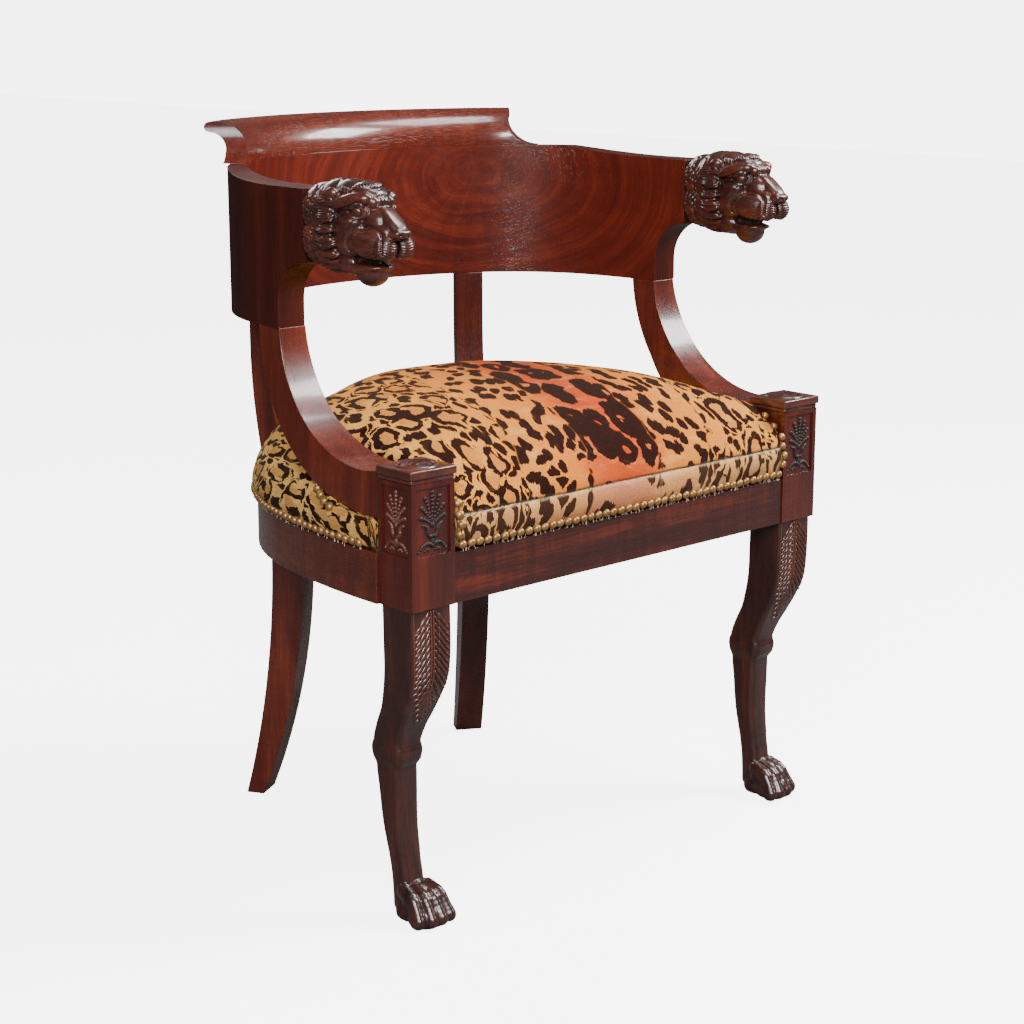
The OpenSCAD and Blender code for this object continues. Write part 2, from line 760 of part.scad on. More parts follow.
front_leg(-1);  // front_leg_left
front_leg(1);  // front_leg_right
block_cap(-1);  // block_cap_left
block_cap(1);  // block_cap_right
front_rail();
side_rail(-1);  // side_rail_left
side_rail(1);  // side_rail_right
back_rail();
corner_block(-1);  // corner_block_left
corner_block(1);  // corner_block_right
rear_leg(-1);  // rear_leg_left
rear_leg(1);  // rear_leg_right
back_panel();
crest_rail();
arm(-1);  // arm_left
arm(1);  // arm_right
lion_head(-1);  // lion_head_left
lion_head(1);  // lion_head_right
arm_support(-1);  // arm_support_left
arm_support(1);  // arm_support_right
color(secondary) panel_dowels(0);
color(secondary) crest_dowels(0);
color(secondary) head_dowels(0);
color(secondary) support_dowels(0);
webbing_long();
webbing_cross();
base_cloth();
seat_cushion();
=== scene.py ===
"""Desk armchair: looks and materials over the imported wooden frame.

Sizes in the making functions are millimetres in the chair's own frame (Z up, front towards -Y).
"""

import math
import random

import bmesh
import bpy
import numpy as np
from mathutils import Matrix, Vector
from mathutils.bvhtree import BVHTree


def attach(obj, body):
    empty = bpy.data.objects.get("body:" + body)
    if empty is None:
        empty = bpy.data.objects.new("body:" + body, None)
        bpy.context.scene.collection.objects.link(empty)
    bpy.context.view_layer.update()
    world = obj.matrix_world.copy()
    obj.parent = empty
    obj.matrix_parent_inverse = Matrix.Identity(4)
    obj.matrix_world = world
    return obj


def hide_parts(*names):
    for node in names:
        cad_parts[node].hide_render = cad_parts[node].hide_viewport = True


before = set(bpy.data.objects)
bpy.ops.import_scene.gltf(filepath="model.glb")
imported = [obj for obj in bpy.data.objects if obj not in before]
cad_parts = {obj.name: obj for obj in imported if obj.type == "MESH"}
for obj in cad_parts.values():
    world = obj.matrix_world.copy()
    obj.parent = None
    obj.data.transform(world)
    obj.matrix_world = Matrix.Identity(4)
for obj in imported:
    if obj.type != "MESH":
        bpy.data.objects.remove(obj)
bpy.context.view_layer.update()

MM = 0.001
# Places and sizes of the frame: the bow of the back, the leg blocks, rails, caps, arms and legs
BOW_Y = -79.6
HALF_SPAN = 306.0
BLOCK_X = 250.0
BLOCK_Y = BOW_Y - 171.5
BLOCK_BACK = BLOCK_Y + 52.0
RAIL_Z = 343.0
RAIL_TOP = 396.0
CAP_Z = 472.0
HEAD_Y = BOW_Y + 2.0
HEAD_Z = 712.0
ARM_X = 280.0
LEG_X = 278.0
PAW_X = 273.0
PAW_Y = BLOCK_Y + 32.0
# The arcs of the seat frame's sides and of the arm supports, and the panel's end on the bow in degrees
SIDE_X = 309.0
SIDE_R = 851.0
SUPPORT_Y = BLOCK_BACK + 17.0
SUPPORT_Z = 618.3
SUPPORT_R = 187.8
JOINT_TURN = 38.0
# The seat's front border, its nails, and the lens that the photograph was taken with
SEAM_Z = 433.5
BORDER_Y = -225.0
NAIL_Z = RAIL_TOP + 7.5
NAIL_RADIUS = 4.75
NAIL_PITCH = 11.0
FOCAL_PIXELS = 2172.75
IMAGE_PIXELS = 1024


def at(x, y, z):
    return Vector((x, y, z)) * MM


def paint(r, g, b):
    """A colour given as it looks on a screen, 0 to 255."""
    lin = [c / 12.92 if c <= 0.04045 else ((c + 0.055) / 1.055) ** 2.4 for c in (r / 255, g / 255, b / 255)]
    return (*lin, 1.0)


# Shader expressions


class Wire:
    """A shader socket. Arithmetic on it adds the nodes that work it out."""

    def __init__(self, tree, out):
        self.tree, self.out = tree, out

    def add(self, kind, settings=None, out=0, **inputs):
        node = self.tree.nodes.new(kind)
        for key, value in (settings or {}).items():
            if key == "stops":
                ramp = node.color_ramp
                while len(ramp.elements) < len(value):
                    ramp.elements.new(0.5)
                for element, (place, colour) in zip(ramp.elements, value):
                    element.position, element.color = place, colour
            else:
                setattr(node, key, value)
        for key, value in inputs.items():
            socket = node.inputs[int(key[1:])] if key[0] == "_" else node.inputs[key]
            if isinstance(value, Wire):
                self.tree.links.new(value.out, socket)
            else:
                socket.default_value = value
        return Wire(self.tree, node.outputs[out])

    def sum(self, how, *others):
        """This and the others put through one operation of the Math node."""
        inputs = {f"_{i + 1}": o for i, o in enumerate(others)}
        return self.add("ShaderNodeMath", {"operation": how}, _0=self, **inputs)

    def __add__(self, o):
        return self.sum("ADD", o)

    __radd__ = __add__

    def __sub__(self, o):
        return self.sum("SUBTRACT", o)

    def __rsub__(self, o):
        return self.add("ShaderNodeMath", {"operation": "SUBTRACT"}, _0=o, _1=self)

    def __mul__(self, o):
        return self.sum("MULTIPLY", o)

    __rmul__ = __mul__

    def smooth(self, low, high):
        """0 below low and 1 above high, with a soft step between."""
        return self.add("ShaderNodeMapRange", {"interpolation_type": "SMOOTHSTEP"}, _0=self, _1=low, _2=high)

    def pick(self, low, high):
        """Colour low where this is 0 and high where it is 1."""
        return self.add("ShaderNodeMix", {"data_type": "RGBA"}, out=2, _0=self, _6=low, _7=high)

    def ramp(self, *stops):
        return self.add("ShaderNodeValToRGB", {"stops": stops}, _0=self)

    def also(self, name):
        """Another output of the node that this came from."""
        return Wire(self.tree, self.out.node.outputs[name])

    def split(self):
        return [self.add("ShaderNodeSeparateXYZ", out=i, _0=self) for i in range(3)]

    def vector(self, x, y, z):
        return self.add("ShaderNodeCombineXYZ", _0=x, _1=y, _2=z)

    def noise(self, scale=1.0, detail=3.0, rough=0.5, bend=0.0):
        return self.add("ShaderNodeTexNoise", Vector=self, Scale=scale, Detail=detail, Roughness=rough,
                        Distortion=bend)


class Finish:
    """A material with its Principled shader and the Object coordinates to draw on."""

    def __init__(self, name, **sockets):
        self.material = bpy.data.materials.new(name)
        self.material.use_nodes = True
        tree = self.material.node_tree
        self.shader = next(n for n in tree.nodes if n.type == "BSDF_PRINCIPLED")
        start = tree.nodes.new("ShaderNodeTexCoord")
        self.place = Wire(tree, start.outputs["Object"])
        self.x, self.y, self.z = self.place.split()
        self.material.diffuse_color = paint(110, 50, 35)
        self.set(**sockets)

    def set(self, **sockets):
        for key, value in sockets.items():
            self.shader.inputs[key.replace("_", " ")].default_value = value

    def feed(self, socket, wire):
        wire.tree.links.new(wire.out, self.shader.inputs[socket])

    def bump(self, height, strength, distance):
        self.feed("Normal", height.add("ShaderNodeBump", Height=height, Strength=strength, Distance=distance))

    def attribute(self, name):
        node = self.material.node_tree.nodes.new("ShaderNodeAttribute")
        node.attribute_name = name
        return Wire(self.material.node_tree, node.outputs["Vector"])


# Finishes


def bow_run(f):
    """Distance round the bow of the back, and distance from its middle, in metres."""
    y = f.y - BOW_Y * MM
    turn = f.x.sum("ARCTAN2", y)
    out = (f.x * f.x + y * y).sum("SQRT")
    return turn * 0.3, out


def polish(f, tone, fibre, pores, tones, gloss, coat=0.5):
    """Colour, gloss and fine relief of French-polished mahogany, with its dark, mid and light tones."""
    dark, mid, light = (paint(*t) for t in tones)
    cloud = f.place.noise(3.1, 2.0, 0.5)
    colour = (tone * 0.72 + fibre * 0.28).ramp((0.30, dark), (0.50, mid), (0.70, light))
    colour = (cloud.smooth(0.35, 0.75) * 0.35).pick(colour, mid)
    colour = (pores * 0.55).pick(colour, dark)
    f.feed("Base Color", colour)
    smear = f.place.noise(23.0, 4.0, 0.6)
    f.feed("Roughness", gloss + smear * 0.13 + pores * 0.12)
    f.bump(fibre * 0.35 - pores * 0.6 + f.place.noise(9.0, 2.0) * 1.6, 0.32, 0.0006)
    f.set(Coat_Weight=coat, Coat_Roughness=0.1, Coat_IOR=1.5, IOR=1.5)
    f.set(Specular_IOR_Level=min(0.5, coat + 0.1))


def mahogany(name, run, figure, dark, mid, light, gloss=0.2, coat=0.5):
    """Polished mahogany whose grain runs along "x", "y", "z", or "bow" round the curved frame."""
    f = Finish(name)
    if run == "bow":
        g, a = bow_run(f)
        b = f.z
    else:
        g, a, b = {"x": (f.x, f.y, f.z), "y": (f.y, f.x, f.z), "z": (f.z, f.x, f.y)}[run]
    v = f.place.vector
    sway = f.place.noise(4.0, 2.0) * 0.02
    band = v(g * 2.6, (a + sway) * 34, (b + sway) * 34).noise(1.0, 5.0, 0.55, 0.5)
    fibre = v(g * 16, a * 520, b * 520).noise(1.0, 3.0, 0.6)
    pores = v(g * 70, a * 1500, b * 1500).noise(1.0, 1.0).smooth(0.60, 0.70)
    ripple = v(g * 60, a * 9, b * 9).noise(1.0, 3.0, 0.5, 1.2)
    tone = band * (1 - figure) + ripple * figure
    polish(f, tone, fibre, pores, (dark, mid, light), gloss, coat)
    return f.material


def oval_figure(name):
    """The veneer inside the back: grain that swirls in ovals round a point right of the middle."""
    f = Finish(name)
    run, _ = bow_run(f)
    v = f.place.vector
    low = f.place.noise(5.0, 3.0, 0.55)
    s = run - 0.172 + (low - 0.5) * 0.055
    h = f.z - 0.722 + (f.place.noise(7.0, 2.0) - 0.5) * 0.03
    ring = ((s * s) * 0.36 + h * h).sum("SQRT")
    turn = h.sum("ARCTAN2", s)
    band = v(ring * 95, turn * 0.35, 0.0).noise(1.0, 5.0, 0.6, 0.3)
    fibre = v(ring * 900, turn * 2.5, 0.0).noise(1.0, 3.0, 0.6)
    pores = v(ring * 1900, turn * 14, f.z * 4).noise(1.0, 1.0).smooth(0.60, 0.72)
    flame = v(ring * 12, turn * 5, low * 3).noise(1.0, 3.0, 0.5, 0.8)
    tone = band * 0.75 + flame * 0.25
    polish(f, tone, fibre, pores, ((46, 13, 9), (90, 28, 17), (132, 50, 29)), 0.22)
    return f.material


def carved_mahogany(name, upright, dark, mid, light):
    """Carved and polished mahogany, with painted shade that makes the hollows nearly black."""
    f = Finish(name)
    v = f.place.vector
    y, z = (60, 8) if upright else (8, 60)
    grain = v(f.x * 60, f.y * y, f.z * z).noise(1.0, 4.0, 0.6, 0.4)
    fibre = v(f.x * 700, f.y * y * 9, f.z * z * 9).noise(1.0, 2.0)
    geometry = f.material.node_tree.nodes.new("ShaderNodeNewGeometry")
    edge = Wire(f.material.node_tree, geometry.outputs["Pointiness"])
    # Hollows found from how the surface curves: painted shade darkens them nearly to black, and they get more
    # roughness and less coat
    hollow_shade = 1 - edge.smooth(0.42, 0.50)
    worn = edge.smooth(0.52, 0.60)
    colour = (grain * 0.7 + fibre * 0.3).ramp((0.32, paint(*dark)), (0.5, paint(*mid)), (0.72, paint(*light)))
    # Painted shade: nearly black in the hollows
    colour = (hollow_shade * 0.88).pick(colour, paint(12, 6, 6))
    colour = (worn * 0.3).pick(colour, paint(156, 92, 70))
    f.feed("Base Color", colour)
    f.feed("Roughness", 0.27 + f.place.noise(40.0, 3.0) * 0.14 + hollow_shade * 0.3)
    f.bump(fibre * 0.3 + f.place.noise(60.0, 2.0) * 0.8, 0.10, 0.0004)
    f.feed("Coat Weight", 0.75 - hollow_shade * 0.7)
    f.set(Coat_Roughness=0.16, Coat_IOR=1.5, IOR=1.5)
    return f.material


def bare_wood(name):
    """Unpolished secondary wood on the hidden side of the seat frame."""
    f = Finish(name, Roughness=0.75)
    v = f.place.vector
    g, a = bow_run(f)
    grain = v(g * 8, a * 90, f.z * 90).noise(1.0, 4.0, 0.6, 0.3)
    saw = v(g * 260, a * 12, f.z * 12).noise(1.0, 2.0)
    stain = f.place.noise(14.0, 3.0)
    colour = grain.ramp((0.3, paint(128, 92, 58)), (0.55, paint(168, 128, 84)), (0.75, paint(190, 152, 106)))
    f.feed("Base Color", (stain.smooth(0.5, 0.8) * 0.5).pick(colour, paint(92, 64, 42)))
    f.bump(grain + saw * 0.4, 0.5, 0.0006)
    return f.material


def flax(name, strips, dark=(112, 92, 62), light=(170, 148, 108)):
    """Plain-woven flax: a tight herringbone for the webbing, an open weave for the cloth."""
    f = Finish(name, Roughness=0.9)
    pitch = 900.0 if strips else 620.0
    warp = (f.x * pitch * 2).sum("SINE")
    weft = (f.y * pitch * 2).sum("SINE")
    weave = (warp * weft) * 0.5 + 0.5
    slub = f.place.vector(f.x * 300, f.y * 20, f.z).noise(1.0, 3.0) * 0.6 + f.place.noise(90.0, 3.0) * 0.4
    colour = (weave * 0.35 + slub * 0.65).ramp((0.25, paint(*dark)), (0.75, paint(*light)))
    f.feed("Base Color", colour)
    f.bump(weave + slub * 0.5, 0.6, 0.0005)
    f.set(Sheen_Weight=0.25)
    return f.material


def leopard_velvet(name):
    """Cut velvet with a print: big blots down the middle, dashes beside them, broken rings outside."""
    f = Finish(name)
    lay = f.attribute("lay")
    u, v, _ = lay.split()
    vec = lay.vector
    wob_a = lay.noise(30.0, 3.0, 0.5)
    wob_b = vec(u + 3.1, v, 0.0).noise(30.0, 3.0, 0.5)
    columns = vec(u * 520, v * 24, 0.0).noise(1.0, 1.0)
    # Ragged ends where the pile columns start and stop
    rag = (columns - 0.5) * 0.010
    wu = u + (wob_a - 0.5) * 0.026
    wv = v + (wob_b - 0.5) * 0.030 + rag

    def cells(su, sv, du=0.0, dv=0.0, loose=1.0, turn=0.0):
        """Distance to the nearest of scattered points, su by sv of them to the metre."""
        pu, pv = wu + wv * turn, wv - wu * turn
        p = vec((pu + du) * su, (pv + dv) * sv, 0.0)
        return p.add("ShaderNodeTexVoronoi", {"voronoi_dimensions": "2D"}, out="Distance",
                     Vector=p, Scale=1.0, Randomness=loose)

    def spots(near, size, share):
        """Solid spots in the middles of the cells, without a share of them."""
        kept = near.also("Color").split()[0].smooth(share - 0.03, share + 0.03)
        return (1 - near.smooth(size - 0.02, size + 0.02)) * kept

    drift = u.sum("ABSOLUTE") + (lay.noise(11.0, 2.0) - 0.5) * 0.05
    # Dashes, leaning outwards on either side
    dash_r = spots(cells(62, 34, turn=0.22), 0.40, 0.08)
    dash_l = spots(cells(62, 34, 0.2, 0.1, turn=-0.22), 0.40, 0.08)
    right = (u + (wob_b - 0.5) * 0.02).smooth(-0.002, 0.002)
    dashes = dash_r * right + dash_l * (1 - right)
    # Rings: an outline round each big cell, broken into two or three strokes, with small spots between
    ring = cells(31, 17.5, 0.11, 0.07, loose=0.85) + (wob_a - 0.5) * 0.2
    broken = vec(wu * 74, wv * 40, 3.0).noise(1.0, 1.0)
    rings = ring.smooth(0.20, 0.23) * (1 - ring.smooth(0.415, 0.445)) * broken.smooth(0.39, 0.43)
    fill = ring.smooth(0.47, 0.51) * (1 - cells(72, 40, 0.31, 0.17).smooth(0.37, 0.41))
    rings = rings.sum("MAXIMUM", fill)
    # Blots down the middle, some with a spot of ground inside
    blot_near = cells(33, 15.5, 0.57, 0.41, loose=0.75) + (wob_a - 0.5) * 0.22
    pupil = blot_near.smooth(0.10, 0.13).sum("MAXIMUM", wob_b.smooth(0.47, 0.51))
    blots = (1 - blot_near.smooth(0.47, 0.50)) * pupil
    middle = 1 - drift.smooth(0.044, 0.054)
    outside = drift.smooth(0.128, 0.140)
    dark = (blots * middle).sum("MAXIMUM", dashes * (1 - outside) * (1 - middle))
    dark = dark.sum("MAXIMUM", rings * outside)
    dark = dark.smooth(0.34, 0.66)
    # Ground colour: coral in the middle, tan beside it, cream outside
    tint = u.sum("ABSOLUTE") + (lay.noise(13.0, 3.0) - 0.5) * 0.06
    ground = tint.ramp((0.0, paint(200, 70, 30)), (0.035, paint(212, 88, 34)),
                       (0.065, paint(234, 132, 46)), (0.20, paint(242, 158, 62)),
                       (0.34, paint(246, 190, 100)), (0.48, paint(248, 212, 138)))
    inside = (1 - ring.smooth(0.18, 0.24)) * outside * 0.55
    ground = inside.pick(ground, paint(196, 112, 52))
    nap = vec(u * 760, v * 420, f.z * 420).noise(1.0, 2.0, 0.7)
    # Broad patches of brushed pile, which also set a painted sheen on the ground and vary the dark of the
    # marks
    brush_and_sheen = vec(u * 20, v * 46, 0.0).noise(1.0, 4.0, 0.6)
    ribs = (u * 3300).sum("SINE") * 0.5 + 0.5
    worn = lay.noise(26.0, 4.0, 0.65).smooth(0.58, 0.74)
    # Painted sheen: lighter patches where the brushed pile catches the light
    ground = (brush_and_sheen.smooth(0.48, 0.75) * 0.4).pick(ground, paint(252, 204, 118))
    # The front border is sewn to the top along a seam, and is paler
    front = 1 - f.y.smooth(-0.236, -0.228)
    seam_line = (f.z - SEAM_Z * MM + (lay.noise(30.0, 2.0) - 0.5) * 0.002) * 620
    seam = (0 - seam_line * seam_line).sum("EXPONENT") * front
    border = front * (1 - seam_line.smooth(-1.2, 0.4))
    ground = (border * (0.3 + worn * 0.4)).pick(ground, paint(248, 216, 164))
    blot = brush_and_sheen * 0.5 + nap * 0.5
    blot = blot.ramp((0.35, paint(16, 4, 4)), (0.6, paint(32, 8, 7)), (0.85, paint(58, 19, 13)))
    colour = (dark * (1 - worn * 0.16)).pick(ground, blot)
    colour = (ribs * 0.12 + (1 - nap.smooth(0.3, 0.62)) * 0.3).pick(colour, paint(70, 26, 12))
    colour = (border * dark * (0.05 + worn * 0.12)).pick(colour, paint(206, 150, 108))
    thread = vec(u * 240, 0.0, f.z * 500).noise(1.0, 2.0).smooth(0.4, 0.6)
    colour = (seam * (0.25 + thread * 0.5)).pick(colour, paint(232, 204, 168))
    f.feed("Base Color", colour)
    f.feed("Roughness", 0.8 + nap * 0.15)
    f.bump(nap * 0.8 + ribs * 0.5 + brush_and_sheen * 0.8 - seam * 4.0, 0.9, 0.0010)
    f.set(Sheen_Weight=0.06, Sheen_Roughness=0.4, Sheen_Tint=(1.0, 0.82, 0.62, 1.0), Specular_IOR_Level=0.05)
    return f.material


def old_brass(name):
    f = Finish(name, Metallic=0.7)
    speck = f.place.noise(700.0, 3.0, 0.6)
    tarnish = f.place.noise(60.0, 3.0).smooth(0.4, 0.7)
    colour = speck.ramp((0.3, paint(150, 108, 62)), (0.6, paint(196, 152, 98)), (0.85, paint(226, 188, 134)))
    f.feed("Base Color", (tarnish * 0.5).pick(colour, paint(150, 108, 66)))
    f.feed("Roughness", 0.3 + speck * 0.2)
    f.bump(speck, 0.3, 0.0002)
    return f.material


def frayed_thread(name):
    f = Finish(name, Roughness=0.95)
    colour = f.place.noise(300.0, 2.0).ramp((0.3, paint(190, 168, 134)), (0.7, paint(232, 218, 190)))
    f.feed("Base Color", colour)
    f.bump(f.place.noise(2000.0, 1.0), 0.4, 0.0002)
    return f.material


# Making pieces


def linked(name, data):
    """A new object in the scene."""
    obj = bpy.data.objects.new(name, data)
    bpy.context.scene.collection.objects.link(obj)
    return obj


def meshed(name, bm):
    mesh = bpy.data.meshes.new(name)
    bm.to_mesh(mesh)
    bm.free()
    return mesh


def piece(name, form, materials, slot, *nodes):
    """A shown piece of the chair that rides with the frame and stands for the CAD nodes named."""
    mesh = meshed(name, form) if isinstance(form, bmesh.types.BMesh) else form
    for material in materials if isinstance(materials, list) else [materials]:
        mesh.materials.append(material)
    obj = linked(name, mesh)
    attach(obj, "root")
    if nodes:
        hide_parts(*nodes)
    return obj


def merged(node):
    """A CAD node's mesh with its corners joined."""
    bm = bmesh.new()
    bm.from_mesh(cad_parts[node].data)
    bmesh.ops.remove_doubles(bm, verts=bm.verts, dist=2e-5)
    return bm


def join_flats(bm):
    """Makes one face of the triangles that lie in a plane."""
    bmesh.ops.dissolve_limit(bm, angle_limit=math.radians(0.4), verts=bm.verts, edges=bm.edges)


def soften(bm, angle):
    """Smooth faces, with sharp edges kept where the surface turns."""
    for face in bm.faces:
        face.smooth = True
    for edge in bm.edges:
        edge.smooth = not (edge.is_manifold and edge.calc_face_angle(0) > math.radians(angle))


def ease(bm, width, keep=None, segments=3):
    """Rounds the arrises of a wooden piece, apart from those that keep() leaves sharp."""
    arris = [e for e in bm.edges if e.is_manifold and e.calc_face_angle(0) > math.radians(32)
             and (keep is None or not keep(e))]
    bmesh.ops.bevel(bm, geom=arris, offset=width * MM, offset_type="OFFSET", segments=segments, profile=0.5,
                    affect="EDGES", clamp_overlap=True, material=-1)


def dress(name, node, materials, slot, width, keep=None, sort=None):
    """A wooden piece as the frame has it, with its arrises eased and its finish on."""
    bm = merged(node)
    join_flats(bm)
    ease(bm, width, keep)
    if sort:
        bm.normal_update()
        for face in bm.faces:
            face.material_index = sort(face)
    soften(bm, 50)
    piece(name, bm, materials, slot, node).modifiers.new("even", "WEIGHTED_NORMAL").keep_sharp = True


def blob(bm, place, radii, turn, u, v, square=2.0):
    """An egg shape at a place, with its three radii, turned by degrees about X, Y and Z."""
    rot = Matrix.Rotation(math.radians(turn[2]), 4, "Z") @ Matrix.Rotation(math.radians(turn[1]), 4, "Y") \
        @ Matrix.Rotation(math.radians(turn[0]), 4, "X")
    made = bmesh.ops.create_uvsphere(bm, u_segments=u, v_segments=v, radius=1.0)["verts"]
    if square != 2.0:
        for vert in made:
            vert.co *= sum(abs(c) ** square for c in vert.co) ** (-1 / square)
    matrix = Matrix.Translation(Vector(place) * MM) @ rot @ Matrix.Diagonal((*(Vector(radii) * MM), 1))
    bmesh.ops.transform(bm, verts=made, matrix=matrix)


def remeshed(name, bm, voxel):
    """The outer skin of overlapping shapes as one even mesh."""
    obj = linked(name, meshed(name, bm))
    skin = obj.modifiers.new("skin", "REMESH")
    skin.mode, skin.voxel_size = "VOXEL", voxel * MM
    skin.use_smooth_shade = True
    out = applied(obj)
    bpy.data.objects.remove(obj)
    return out


def applied(obj):
    """A copy of an object's mesh with its modifiers worked out."""
    bpy.context.view_layer.update()
    shown = obj.evaluated_get(bpy.context.evaluated_depsgraph_get())
    return bpy.data.meshes.new_from_object(shown)


def read(mesh, what="co"):
    """Places of the mesh's points, or with "normal" their normals, as rows."""
    data = np.zeros(len(mesh.vertices) * 3, np.float32)
    if what == "co":
        mesh.vertices.foreach_get("co", data)
    else:
        mesh.vertex_normals.foreach_get("vector", data)
    return data.reshape(-1, 3).astype(float)


def write(mesh, co):
    mesh.vertices.foreach_set("co", co.astype(np.float32).ravel())
    mesh.update()


def even_out(bm):
    bmesh.ops.smooth_vert(bm, verts=bm.verts, factor=0.5, use_axis_x=True, use_axis_y=True, use_axis_z=True)


def relax(mesh, times):
    bm = bmesh.new()
    bm.from_mesh(mesh)
    for _ in range(times):
        even_out(bm)
    bm.to_mesh(mesh)
    bm.free()


def step(x, low, high):
    """0 below low and 1 above high, with a soft step between."""
    t = np.clip((x - low) / (high - low), 0, 1)
    return t * t * (3 - 2 * t)


def hill(x, centre, width):
    """1 at the centre, and down to nothing a width or two away."""
    return np.exp(-((x - centre) / width) ** 2)


# Lion heads


def head_shape():
    """The lion's head at the origin: looks towards -Y, its joint with the arm in the plane Y = 0."""
    bm = bmesh.new()

    def egg(u, w, h, ru, rw, rh, yaw=0, pitch=0, square=2.0):
        """Forward, sideways and upward place and radii; on both sides where it is off the middle."""
        for s in ((1, -1) if w else (1,)):
            blob(bm, (s * w, -u, h), (rw, ru, rh), (-pitch, 0, -s * yaw), 28, 18, square)

    # Neck and skull
    for h in (-14, 15):
        egg(20, 0, h, 30, 26, 28)
    for h in (-11, 12):
        egg(43, 0, h, 32, 33, 36)
    egg(60, 0, 19, 34, 26, 29.5)
    egg(82, 0, 27, 20, 22, 20.5)
    egg(88, 0, 17, 20, 19, 20)
    # Brows: a heavy lobe that overhangs the eye and rises towards the nose
    egg(80, 22.5, 28, 22, 7.5, 8, 16, 16)
    egg(94, 16.5, 31, 10, 7.5, 6.8, 24, 12)
    egg(101, 9.5, 28, 7, 6, 6.5, 10)
    egg(98, 0, 28, 9, 9, 8)
    # Eyes
    egg(87, 14.5, 18, 9, 8, 9)
    egg(90.5, 19.2, 19.4, 7.4, 7.0, 7.0)
    # Cheeks
    egg(73, 14, -4, 23, 17, 25)
    egg(80, 21.5, 8.5, 14, 9, 9, 14)
    egg(86, 18, -6, 15, 10, 14, 10)
    # Nose: a broad flat bridge, the flanks beside it, the tip and its wings
    egg(118.5, 0, 8.5, 21, 10.5, 8.5, 0, -39, 2.8)
    egg(104, 9, 8, 15, 9, 13, 14)
    egg(113, 12, 0, 11, 6, 8, 18, -20)
    egg(119, 10.5, -1, 9, 5.5, 8, 10, -30)
    egg(132, 0, -0.3, 6.5, 10.5, 4.6, 0, -14, 3)
    egg(129, 8, -2, 6.5, 4.2, 4.2, 18)
    # Whisker pads
    egg(107, 16, -12, 22, 11, 14.5, 20)
    egg(120, 11.5, -14.5, 13, 11.5, 13.5, 16)
    # Lower jaw, lip and chin
    egg(88, 0, -26, 19, 15, 9)
    egg(84, 0, -36, 22, 19.5, 8, 0, 0, 2.4)
    egg(94, 0, -36.2, 17.5, 17, 4.2, 0, 3, 2.3)
    egg(88, 0, -41, 17, 17, 15)
    egg(66, 0, -32, 22, 24, 15)
    # Ears among the locks
    egg(56, 25.5, 34, 8, 4.5, 7, 20, 25)
    # Ruff of locks round the face
    for k in range(30):
        a = 2 * math.pi * (k + 0.3 * math.sin(k * 2.1)) / 30
        w, h = 32.5 * math.cos(a), 41 * math.sin(a)
        if h < 33:
            blob(bm, (w, -53, h), (6.0, 14, 4.6), (0, -math.degrees(a), 0), 14, 10)
    mesh = remeshed("head_skin", bm, 0.85)
    relax(mesh, 4)
    co = read(mesh) / MM
    n = read(mesh, "normal")
    w, u, h = co[:, 0], -co[:, 1], co[:, 2]
    aw = np.abs(w)
    a = np.arctan2(h, w)
    out = np.hypot(w / 36, h / 46)
    move = np.zeros(len(co))
    # Strands of the ruff, running forwards and inwards
    ruff = step(u, 34, 40) * (1 - step(u, 64, 69)) * step(out, 0.72, 0.86) * (1 - step(h, 28, 36))
    strands = np.sin(a * 92 + u * 0.10 + 0.8 * np.sin(a * 11))
    move += ruff * (-0.4 + 0.6 * strands)
    move -= ruff * 1.3 * hill((a * 15 / math.pi + 0.3 * np.sin(u * 0.10)) % 1.0, 0.5, 0.17)
    # Small curls in rows on the collar behind the ruff
    collar = step(u, 3, 6) * (1 - step(u, 32, 37)) * (1 - step(h, 27, 34))
    row = np.floor((u - 3) / 9.5)
    across = ((u - 3) % 9.5) / 9.5 - 0.5
    along_row = (a * 26 / (2 * math.pi) + 0.5 * row) % 1.0 - 0.5
    curl = np.hypot(across * 1.15, along_row)
    move += collar * (1.5 * (1 - step(curl, 0.30, 0.52)) - 0.9 * hill(curl, 0.06, 0.11) - 0.5)
    # Smooth crown with a few comma-shaped locks
    crown = step(h, 26, 34) * (1 - step(u, 62, 70)) * step(u, 4, 10)
    for cu, cw, size in ((16, 13, 5), (34, 20, 6), (50, 6, 5), (26, -3, 5)):
        x, y = u - cu, aw - cw
        x, y = x * 0.8 + y * 0.6, -x * 0.6 + y * 0.8
        bow = y - 0.09 * x * x / size * 2
        inside = (1 - step(np.abs(x), size * 0.8, size * 1.2)) * crown
        move += inside * (0.6 * hill(bow, 0, 1.6) - 0.7 * hill(bow, -2.6, 0.9))
    # Fringe of short strands brushed forwards over the forehead, and the crease under it
    front = np.hypot((u - 60) / 36, w / 20.5)
    fringe = step(front, 0.78, 0.84) * (1 - step(front, 0.97, 1.0)) * step(h, 30, 33) * step(u, 60, 64)
    move += fringe * (0.8 + 0.55 * np.sin(np.arctan2(w / 20.5, (u - 56) / 36) * 56))
    move -= 1.1 * hill(front, 1.03, 0.025) * step(h, 26, 30) * step(u, 60, 64)
    # Crease from the inner corner of the eye down and back over the cheek
    for shift, deep in ((0, 1.2), (8, 0.5)):
        line = u - 89.5 - 0.68 * h + shift
        move -= deep * hill(line, 0, 1.5) * step(h, -12, -5) * (1 - step(h, 15, 20)) * step(aw, 8, 11)
    # Arched groove that bounds the pad, from the wing of the nose to the corner of the mouth
    arch = np.hypot((u - 104) / 1.15, h + 14)
    move -= 1.9 * hill(arch, 19.5, 1.4) * (h > -20) * step(aw, 8, 11) * (1 - step(u, 126, 129))
    # Whisker grooves, fanning over the front of the pads
    pad = step(u, 103, 114) * step(h, -28, -24) * (1 - step(h, -9, -5)) * step(aw, 2.0, 4.5)
    move += pad * 0.55 * np.sin((h + 30 + 0.016 * (u - 130) ** 2 - 0.02 * (aw - 8) ** 2) * 2 * math.pi / 2.5)
